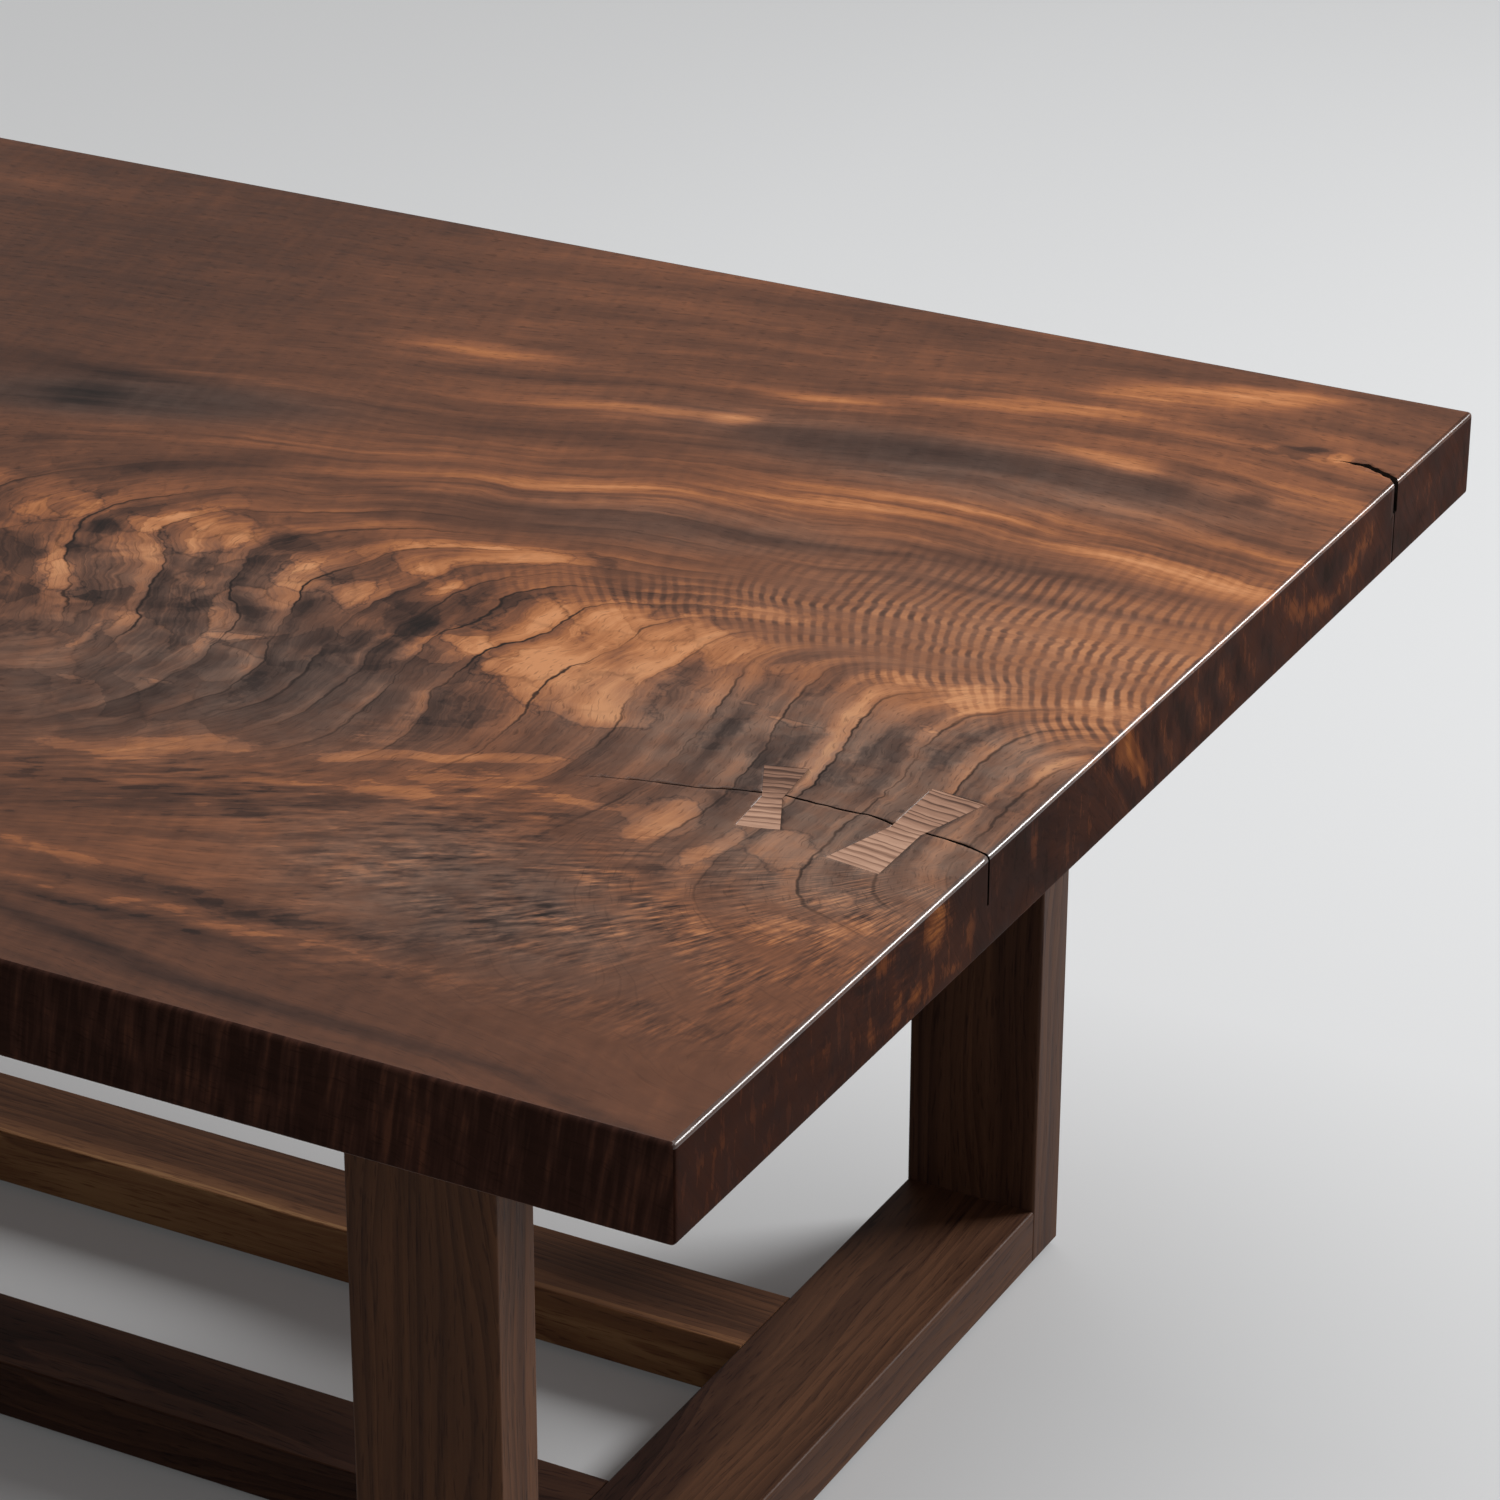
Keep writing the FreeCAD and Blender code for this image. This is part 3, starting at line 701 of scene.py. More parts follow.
@dataclass
class WalnutPattern:
    """The parts of the pattern of figured walnut, each drawn by one method."""

    finish: FiguredWalnut
    put: Callable[..., Socket]
    place: Socket

    def __post_init__(self) -> None:
        """Reads the figure's attributes, and draws what several parts share."""
        self.read = {name: self.put("Attribute", out="Fac", attribute_name=name) for name in (
            "ring", "gap", "along", "ripple", "ray", "reach", "tone", "shade", *ZONES)}
        self.ring = self.wavering_rings()
        self.share = self.put("Math FRACT", self.ring)
        self.slanted = self.slanted_grain()

    def fade(self, part: Socket, *rows: tuple) -> Socket:
        """Makes a part of the pattern come and go.

        Args:
            part: The part.
            *rows: What it follows, between which two values of that, and from which share to which.

        Returns:
            The part times each share.
        """
        for source, *limits in rows:
            share = self.put("MapRange", source, *limits)
            part = self.put("Math MULTIPLY", part, share)
        return part

    def threads(self, across: Socket, lengthways: Socket, layer: float, *values: float) -> Socket:
        """Noise drawn out into threads that follow the figure.

        Args:
            across: Steps across the threads.
            lengthways: Steps along the threads.
            layer: Which of many such noises it is.
            *values: The noise's detail and roughness.

        Returns:
            The noise.
        """
        return self.put("TexNoise", self.put("CombineXYZ", across, lengthways, layer), 1.0, *values)

    def wavering_rings(self) -> Socket:
        """The ring number, which wavers by a few millimetres and more in the crotch.

        Returns:
            The ring number.
        """
        put, waver = self.put, 0.0
        for scale, zone, least, most in ((38.0, "crotch", 5.0, 15.0), (150.0, "crisp", 1.5, 4.0)):
            drift = put("Math SUBTRACT", put("TexNoise", self.place, scale, 2.0), 0.5)
            reach = put("MapRange", self.read[zone], 0.0, 1.0, least, most)
            waver = put("Math MULTIPLY_ADD", drift, reach, waver)
        waver = put("Math DIVIDE", waver, self.read["gap"])
        return put("Math ADD", self.read["ring"], waver)

    def ring_line(self) -> Socket:
        """A thin dark line on each ring, one or two millimetres wide, which fades in and out.

        Returns:
            How dark the line is.
        """
        put, read = self.put, self.read
        middle = put("Math ABSOLUTE", put("Math SUBTRACT", self.share, 0.5))
        away = put("Math MULTIPLY", put("Math SUBTRACT", 0.5, middle), read["gap"])
        strength = put("TexNoise", self.place, 17.0, 1.0)
        line = put("Math DIVIDE", away, put("MapRange", strength, 0.35, 0.7, 0.5, 1.25))
        line = put("MapRange", line, 0.2, 1.0, 1.0, 0.0, **SMOOTH)
        return self.fade(line, (strength, 0.36, 0.58, 0.42, 1.0), (read["gap"], 10.0, 18.0, 0.3, 1.0),
                         (read["crisp"], 0.0, 1.0, 0.06, self.finish.line_strength),
                         (read["calm"], 0.0, 1.0, 1.0, 0.08))

    def lightening(self) -> Socket:
        """Just inside a ring line the wood is dark, and it lightens towards the next line.

        Returns:
            The change of tone.
        """
        slope = self.put("ValToRGB", self.share, ramp=(
            (0.0, "2a2a2a"), (0.16, "4e4e4e"), (0.5, "8c8c8c"), (0.86, "dcdcdc"), (1.0, "b0b0b0")))
        slope = self.put("Math SUBTRACT", slope, 0.27)
        uneven = self.put("TexNoise", self.place, 26.0, 1.5)
        return self.fade(slope, (uneven, 0.35, 0.65), (self.read["crisp"], 0.0, 1.0, 0.08, 1.0),
                         (self.read["calm"], 0.0, 1.0, 1.0, 0.0))

    def streaks(self) -> tuple[Socket, Socket]:
        """Streaks along the grain.

        Returns:
            The broad streaks and the thin ones.
        """
        put, read = self.put, self.read
        layers = []
        for pace, length, start in ((2.6, 0.008, 0.0), (9.0, 0.018, 7.0), (34.0, 0.02, 13.0)):
            across = put("Math MULTIPLY_ADD", self.ring, pace, start)
            layers.append(self.threads(across, put("Math MULTIPLY", read["along"], length), start, 3.0, 0.6))
        quiet = put("Math MAXIMUM", read["calm"], read["fan"])
        streaks = []
        for tight, wide, shut, opened in ((12.0, 24.0, 0.5, layers[0]), (14.0, 40.0, layers[1], layers[2])):
            streak = put("Mix", put("MapRange", read["gap"], tight, wide), shut, opened, data_type="FLOAT")
            streak = put("Math SUBTRACT", streak, 0.5)
            streaks.append(self.fade(streak, (quiet, 0.0, 1.0, 1.0, 0.15)))
        return streaks[0], self.fade(streaks[1], (read["crisp"], 0.0, 1.0, 0.4, 0.9))

    def slanted_grain(self) -> Socket:
        """Grain beside the crotch that rises to the right, 5 by 30 mm."""
        slanted = self.put("Mapping", self.place, Rotation=(0, 0, math.radians(27)),
                           Scale=(0.03, 0.0048, 0.02), vector_type="TEXTURE")
        return self.put("TexNoise", slanted, 1.0, 3.0, 0.65)

    def ragged(self) -> Socket:
        """The light and dark patches, with ragged edges and, where the figure is crisp, a thin dark rim.

        Returns:
            The change of tone.
        """
        put, read, finish = self.put, self.read, self.finish
        squeezed = put("Mapping", self.place, Scale=(1.0, 1.0, finish.upright))
        fray = put("TexNoise", squeezed, finish.fray, 4.0, 0.65)
        fray = put("MapRange", fray, 0.3, 0.7, -finish.tear, finish.tear)
        torn = put("Math ADD", read["tone"], fray)
        slits = put("MapRange", self.slanted, 0.35, 0.65, -0.2, 0.16)
        torn = put("Math MULTIPLY_ADD", slits, read["flecks"], torn)
        # The orange shine of the light patches is partly a painted sheen
        light = put("MapRange", torn, 0.15, 0.22, 0.0, 0.11, **SMOOTH)
        dark = put("MapRange", torn, -0.2, -0.13, -0.11, 0.0, **SMOOTH)
        flat = put("Math MULTIPLY_ADD", read["tone"], 0.36, put("Math ADD", light, dark))
        rim = put("Math ABSOLUTE", put("Math SUBTRACT", torn, 0.13))
        rim = put("MapRange", rim, 0.0, 0.03, 0.16, 0.0, **SMOOTH)
        return put("Math SUBTRACT", flat, put("Math MULTIPLY", rim, read["crisp"]))

    def cells(self) -> tuple[Socket, Socket]:
        """Flat patches of the crotch, about 20 by 32 mm, with thin dark snaky seams between them.

        Returns:
            The change of tone, and how dark the seams are.
        """
        put, crotch = self.put, self.read["crotch"]
        bend = put("TexNoise", self.place, 30.0, 4.0, 0.6, out="Color")
        bend = put("VectorMath SUBTRACT", bend, (0.5, 0.5, 0.5))
        bent = put("VectorMath MULTIPLY_ADD", bend, (0.035, 0.035, 0.0), self.place)
        spot = put("Mapping", bent, Rotation=(0, 0, math.radians(12)), Scale=(0.02, 0.032, 0.03),
                   vector_type="TEXTURE")
        cell = put("SeparateColor", put("TexVoronoi", spot, 1.0, out="Color", voronoi_dimensions="2D"))
        cell = put("Math MULTIPLY", put("Math SUBTRACT", cell, 0.5), crotch)
        seam = put("TexVoronoi", spot, 1.0, voronoi_dimensions="2D", feature="DISTANCE_TO_EDGE")
        seam = put("MapRange", seam, 0.0, 0.08, 1.0, 0.0, **SMOOTH)
        fading = put("TexNoise", self.place, 33.0, 1.0)
        return cell, self.fade(seam, (fading, 0.38, 0.62, 0.0, 0.42), (crotch,))

    def curl(self) -> Socket:
        """Ripples of curly grain, wide light stripes with narrow dark ones between, in rows along the rings.

        Returns:
            The change of tone.
        """
        put, read = self.put, self.read
        bend = put("TexNoise", self.place, 22.0, 2.0)
        phase = put("Math MULTIPLY_ADD", bend, 2.0, read["ripple"])
        across = put("Math MULTIPLY", read["ring"], 1.25)
        row = self.threads(across, put("Math MULTIPLY", read["along"], 0.008), 21.0, 2.0)
        phase = put("Math MULTIPLY_ADD", row, 0.55, phase)
        wave = put("Math SINE", put("Math MULTIPLY", phase, math.tau))
        wave = put("MapRange", wave, -0.9, 0.6, -1.0, 0.8, **SMOOTH)
        lively = put("TexNoise", self.place, 45.0, 1.0)
        return self.fade(wave, (lively, 0.35, 0.62, 0.45, 1.1), (row, 0.38, 0.58, 0.3, 1.2), (read["curl"],))

    def rays(self) -> Socket:
        """Fine rays that fan out below the keys, two to four millimetres apart.

        Returns:
            The change of tone.
        """
        across = self.put("Math MULTIPLY", self.read["ray"], 62.0)
        lengthways = self.put("Math MULTIPLY", self.read["reach"], 0.06)
        rays = self.put("MapRange", self.threads(across, lengthways, 3.0, 3.0, 0.7), 0.35, 0.65, -1.0, 1.0)
        broken = self.put("TexNoise", self.place, 40.0, 2.0)
        return self.fade(rays, (broken, 0.38, 0.62, 0.25, 1.2), (self.read["fan"],))

    def flecks(self) -> Socket:
        """Short bright flecks beside the crotch, with dark ones between.

        Returns:
            The change of tone.
        """
        fleck = self.put("MapRange", self.slanted, 0.36, 0.66, -0.36, 0.85, **SMOOTH)
        groups = self.put("TexNoise", self.place, 24.0, 1.0)
        return self.fade(fleck, (groups, 0.4, 0.6, 0.25, 1.0), (self.read["flecks"],))

    def swirls(self) -> Socket:
        """Swirls of the crotch."""
        swirl = self.put("TexNoise", self.place, 30.0, 3.0, Distortion=0.8)
        return self.fade(self.put("MapRange", swirl, 0.4, 0.6, -1.0, 1.0, **SMOOTH), (self.read["crotch"],))

    def shimmer(self) -> Socket:
        """A faint shimmer across the grain, six millimetres apart."""
        crossed = self.put("Mapping", self.place, Rotation=(0, 0, math.radians(104)),
                           Scale=(0.06, 0.006, 0.02), vector_type="TEXTURE")
        return self.put("TexNoise", crossed, 1.0, 2.0)

    def upright_stripes(self) -> Socket:
        """Upright stripes of curl on the long edges, about 5 mm apart and leaning a little."""
        leaning = self.put("Mapping", self.place, Rotation=(0, math.radians(9), 0),
                           Scale=(0.0034, 0.05, 0.035), vector_type="TEXTURE")
        return self.put("MapRange", self.put("TexNoise", leaning, 1.0, 2.0, 0.55), 0.42, 0.68, -0.4, 1.0)

    def pores(self) -> Socket:
        """Pores, drawn about one millimetre wide so that they show.

        Returns:
            How dark they are.
        """
        across = self.put("Math MULTIPLY", self.ring, 30.0)
        lengthways = self.put("Math MULTIPLY", self.read["along"], 0.16)
        deepest = self.put("MapRange", self.read["calm"], 0.0, 1.0, 0.35, 0.16)
        return self.put("MapRange", self.threads(across, lengthways, 0.0, 1.0), 0.6, 0.7, 0.0, deepest)


class Side(Enum):
    """The finishes of the slab's outer faces."""

    TOP = FiguredWalnut()
    END = FiguredWalnut(
        "oiled_walnut_end_grain", warm=(
            (0.0, "140b08"), (0.25, "27170f"), (0.45, "371f17"), (0.6, "4a291c"), (0.78, "7a4527"),
            (1.0, "b06a38")),
        grey=((0.0, "120c0a"), (0.4, "2c1e19"), (0.7, "463229"), (1.0, "7c563f")),
        roughness=0.55, gloss=0.02, base_tone=0.47, line_strength=0.5, fray=200.0, upright=0.25, tear=0.3)
    EDGE = FiguredWalnut(
        "oiled_walnut_long_edge", warm=(
            (0.0, "1d120f"), (0.35, "36221c"), (0.6, "4e3229"), (0.8, "6c4434"), (1.0, "8c5a42")),
        grey=((0.0, "1a100d"), (0.5, "3a2620"), (1.0, "6b4333")),
        roughness=0.55, gloss=0.02, base_tone=0.48, stripes=0.22, line_strength=0.3)
    UNDER = FiguredWalnut(
        "oiled_walnut_underside", roughness=0.5, gloss=0.2, base_tone=0.4, contrast=0.8, line_strength=0.5)
    ARRIS = FiguredWalnut(
        "burnished_walnut_arris", roughness=0.28, gloss=0.8, base_tone=0.3, line_strength=0.3, dulled=0.72,
        relief=0.02)


@dataclass(frozen=True)
class CrackedWood:
    """Raw torn walnut inside the cracks, nearly black: partly its own colour, partly painted shade
    deep in the narrow crack. The eye gets a thin dark line.
    """

    dark: str = "0f0a08"
    light: str = "241811"

    def material(self) -> bpy.types.Material:
        """Makes the material.

        Returns:
            The material.
        """
        material, put, place = new_material("torn_walnut_in_crack")
        torn = put("TexNoise", put("Mapping", place, Scale=(80, 80, 500)), 1.0, 4.0)
        colour = put("ValToRGB", torn, ramp=((0.35, self.dark), (0.7, self.light)))
        bump = put("Bump", Strength=0.5, Distance=0.6 * MM, Height=torn)
        put("OutputMaterial", put("BsdfPrincipled", Base_Color=colour, Roughness=0.85, Normal=bump,
                                  Specular_IOR_Level=0.1))
        return material


@dataclass(frozen=True)
class KeyWalnut:
    """Pale walnut of the butterfly keys, planed flush, with the grain running across the crack.

    The eye gets a light pinkish tan with thin dark ring lines, drawn three to four millimetres apart. A
    painted sheen makes the front part of each key lighter than its back part.
    """

    key: str
    turn: float
    start: float
    # How much the front part and the back part are lightened or darkened, a painted sheen
    near: float
    far: float
    roughness: float = 0.42

    def material(self) -> bpy.types.Material:
        """Makes the material of the key.

        Returns:
            The material.
        """
        material, put, place = new_material(f"oiled_pale_walnut_{self.key}")
        towards_back = put("SeparateXYZ", place, out="Y")
        place = put("Mapping", place, Location=(self.start, self.start, 0),
                    Rotation=(0, 0, math.radians(-self.turn)))
        waver = put("TexNoise", put("Mapping", place, Scale=(60, 90, 60)), 1.0, 2.0)
        number = put("Math MULTIPLY_ADD", put("SeparateXYZ", place, out="Y"), 235.0, waver)
        uneven = put("TexNoise", number, 0.6, 1.0, noise_dimensions="1D")
        number = put("Math MULTIPLY_ADD", uneven, 1.6, number)
        rings = put("ValToRGB", put("Math FRACT", number), ramp=(
            (0.0, "cfcfcf"), (0.5, "bcbcbc"), (0.72, "8c8c8c"), (0.84, "444444"), (0.93, "9a9a9a"),
            (1.0, "cfcfcf")))
        fibres = put("TexNoise", put("Mapping", place, Scale=(70, 700, 200)), 1.0, 3.0, 0.6)
        tone = put("Math MULTIPLY_ADD", fibres, 0.5, put("Math MULTIPLY", rings, 0.8))
        # Painted sheen: the front part of the key lighter, the back part darker
        tone = put("Math ADD", tone, put("MapRange", towards_back, -0.14, -0.12, self.near, self.far))
        colour = put("ValToRGB", tone, ramp=(
            (0.15, "553c31"), (0.34, "82604e"), (0.56, "aa816b"), (0.78, "c99f86")))
        bump = put("Bump", Strength=0.12, Distance=0.3 * MM, Height=fibres)
        put("OutputMaterial", put("BsdfPrincipled", Base_Color=colour, Roughness=self.roughness, Normal=bump,
                                  IOR=1.5, Specular_IOR_Level=0.15))
        return material


@dataclass(frozen=True)
class StraightWalnut:
    """Oiled black walnut, planed and sanded, with straight grain and a lighter stripe near the sapwood.

    The pith's place and the bark's distance are in millimetres across the board, from the part's own axes
    turned by the grain. They say where in the log it was sawn, which decides the lines on each of its faces.
    """

    board: str
    grain: Grain
    pith: Point
    bark: float
    shift: float
    # Lighter or darker over the whole board: partly its own tone, partly painted light and shade
    shade: float = 0.0
    tones: Ramp = (
        (0.0, "20130f"), (0.25, "3e2820"), (0.5, "5c3f2f"), (0.72, "79533c"), (0.88, "976b4a"),
        (1.0, "b3875e"))
    ring_gap: float = 5.5
    sapwood: float = 14.0
    roughness: float = 0.46

    def material(self) -> bpy.types.Material:
        """Makes the material of the board.

        Returns:
            The material.
        """
        material, put, place = new_material(f"oiled_straight_walnut_{self.board}")
        place = put("Mapping", place, Rotation=[math.radians(turn) for turn in self.grain.value])
        place = put("Mapping", place, Location=(self.shift, -self.pith[0] * MM, -self.pith[1] * MM))

        # Rings are long cones about the pith that waver along the board
        waver = put("TexNoise", put("Mapping", place, Scale=(2.4, 14.0, 14.0)), 1.0, 2.0, out="Color")
        waver = put("VectorMath SUBTRACT", waver, (0.5, 0.5, 0.5))
        bent = put("VectorMath MULTIPLY_ADD", waver, (0.0, 0.05, 0.05), place)
        radius = put("VectorMath LENGTH", put("VectorMath MULTIPLY", bent, (0.0, 1.0, 1.0)))
        number = put("Math MULTIPLY", radius, 1 / (self.ring_gap * MM))
        uneven = put("TexNoise", number, 0.35, 1.0, noise_dimensions="1D")
        number = put("Math MULTIPLY_ADD", uneven, 2.4, number)
        rings = put("ValToRGB", put("Math FRACT", number), ramp=(
            (0.0, "b0b0b0"), (0.45, "9c9c9c"), (0.85, "5e5e5e"), (0.95, "3a3a3a"), (1.0, "b0b0b0")))
        fibres, bands, pores = (
            put("TexNoise", put("Mapping", bent, Scale=(along, across, across)), 1.0, detail, roughness)
            for along, across, detail, roughness in (
                (5.0, 240.0, 4.0, 0.65), (1.6, 34.0, 2.0, 0.5), (60.0, 900.0, 1.0, 0.5)))
        pores = put("MapRange", pores, 0.58, 0.7, 0.0, 0.5)
        sap = put("MapRange", radius, (self.bark - self.sapwood) * MM, self.bark * MM, 0.0, 0.3, **SMOOTH)

        tone = put("Math ADD", sap, 0.42 + self.shade)
        for part, weight, centre in (
                (rings, 0.4, 0.3), (fibres, 0.45, 0.5), (bands, 0.6, 0.5), (pores, -0.3, 0.0)):
            tone = put("Math MULTIPLY_ADD", put("Math SUBTRACT", part, centre), weight, tone)
        colour = put("ValToRGB", tone, ramp=self.tones)
        rough = put("MapRange", fibres, 0.3, 0.7, self.roughness - 0.05, self.roughness + 0.08)
        bump = put("Bump", Strength=0.15, Distance=0.4 * MM, Height=put("Math SUBTRACT", fibres, pores))
        put("OutputMaterial", put("BsdfPrincipled", Base_Color=colour, Roughness=rough, Normal=bump, IOR=1.5,
                                  Specular_IOR_Level=0.1))
        return material


@dataclass(frozen=True)
class Beech:
    """Steamed beech of the loose tenons, sawn and fluted, pale pink with short dark flecks."""

    def material(self) -> bpy.types.Material:
        """Makes the material.

        Returns:
            The material.
        """
        material, put, place = new_material("sawn_steamed_beech")
        flecks = put("TexNoise", place, 700.0, 2.0)
        tone = put("Math MULTIPLY", flecks, put("TexNoise", place, 60.0, 2.0))
        colour = put("ValToRGB", tone, ramp=((0.12, "a77b58"), (0.3, "cfa680"), (0.45, "dfbd98")))
        bump = put("Bump", Strength=0.2, Distance=0.2 * MM, Height=flecks)
        put("OutputMaterial", put("BsdfPrincipled", Base_Color=colour, Roughness=0.6, Normal=bump))
        return material


@dataclass(frozen=True)
class Metal:
    """A turned or pressed metal of the fittings, with faint turning marks and slightly uneven sheen."""

    name: str
    dark: str
    light: str
    roughness: float

    def material(self) -> bpy.types.Material:
        """Makes the material.

        Returns:
            The material.
        """
        material, put, place = new_material(self.name)
        marks = put("TexNoise", put("Mapping", place, Scale=(300, 300, 3000)), 1.0, 2.0)
        clouds = put("TexNoise", place, 250.0, 3.0)
        colour = put("ValToRGB", clouds, ramp=((0.35, self.dark), (0.65, self.light)))
        rough = put("MapRange", marks, 0.3, 0.7, self.roughness - 0.08, self.roughness + 0.08)
        bump = put("Bump", Strength=0.15, Distance=0.1 * MM, Height=marks)
        put("OutputMaterial", put("BsdfPrincipled", Base_Color=colour, Roughness=rough, Normal=bump,
                                  Metallic=1.0))
        return material


@dataclass(frozen=True)
class Felt:
    """Pressed grey brown wool felt. The eye gets matted short fibres with a soft fuzzy sheen."""

    dark: str = "3b332d"
    light: str = "6b6057"

    def material(self) -> bpy.types.Material:
        """Makes the material.

        Returns:
            The material.
        """
        material, put, place = new_material("pressed_wool_felt")
        hairs = put("TexNoise", place, 1600.0, 3.0, Distortion=1.5)
        tone = put("Mix", 0.5, hairs, put("TexNoise", place, 260.0, 2.0), data_type="FLOAT")
        colour = put("ValToRGB", tone, ramp=((0.36, self.dark), (0.62, self.light)))
        bump = put("Bump", Strength=0.6, Distance=0.4 * MM, Height=hairs)
        put("OutputMaterial", put("BsdfPrincipled", Base_Color=colour, Roughness=0.95, Normal=bump,
                                  Sheen_Weight=0.3, Specular_IOR_Level=0.1))
        return material


@dataclass(frozen=True)
class Crack:
    """A crack in the right end of the slab.

    The stations run from the end inwards, each with its share of the reach, its share of the drift towards
    the back and its share of the mouth's width. Between them the crack wavers a little.
    """

    name: str
    reach: float
    drift: float
    offset: float
    mouth: float
    depth: float
    stations: tuple[Place, ...]
    waver: float = 0.3
    steps: int = 4
    least_width: float = 0.06
    overrun: float = 3.0

    def outline(self) -> np.ndarray:
        """The middle line and the half widths, station by station.

        Returns:
            Rows of x, y and half width.
        """
        shares = np.array(self.stations)
        fine = np.linspace(0, 1, self.steps * (len(shares) - 1) + 1)
        spine = np.interp(fine, shares[:, 0], shares[:, 1])
        widths = np.interp(fine, shares[:, 0], shares[:, 2])
        inwards = fine * self.reach
        shiver = np.sin(inwards * 0.71) * 0.6 + np.sin(inwards * 1.9 + 1.3) * 0.4
        shiver *= self.waver * np.clip(4 * fine, 0, 1)
        swell = 1 + 0.18 * np.sin(inwards * 1.1)
        x = RIGHT_END - inwards
        y = self.offset + self.drift * spine + shiver
        half = self.mouth * np.clip(widths, self.least_width, 1) / 2 * swell
        return np.vstack([(RIGHT_END + self.overrun, y[0], half[0]), np.column_stack([x, y, half])])

    def cutter(self) -> bpy.types.Object:
        """Draws the crack station by station from an edge, then sinks it into the slab.

        Returns:
            The solid that cuts the crack.
        """
        path = self.outline()
        top = (TOP_HEIGHT + self.overrun) * MM
        piece = new_piece(self.name, bpy.ops.mesh.primitive_plane_add, size=1.0)
        pick(piece, "VERT", lambda mesh: points_of(mesh)[:, 0] > 0)
        bpy.ops.mesh.delete(type="VERT")
        pick(piece)
        x, y, half = path[0]
        bpy.ops.transform.resize(value=(1, 2 * half * MM, 1), center_override=(0, 0, 0))
        bpy.ops.transform.translate(value=(x * MM + 0.5, y * MM, top))
        for (x0, y0, half0), (x1, y1, half1) in zip(path, path[1:]):
            step = ((x1 - x0) * MM, (y1 - y0) * MM, 0.0)
            bpy.ops.mesh.extrude_edges_move(TRANSFORM_OT_translate={"value": step})
            bpy.ops.transform.resize(value=(1, half1 / half0, 1), center_override=(x1 * MM, y1 * MM, top))
        bpy.ops.mesh.select_mode(type="FACE")
        sink(self.depth + self.overrun)
        bpy.ops.object.mode_set(mode="OBJECT")
        return piece


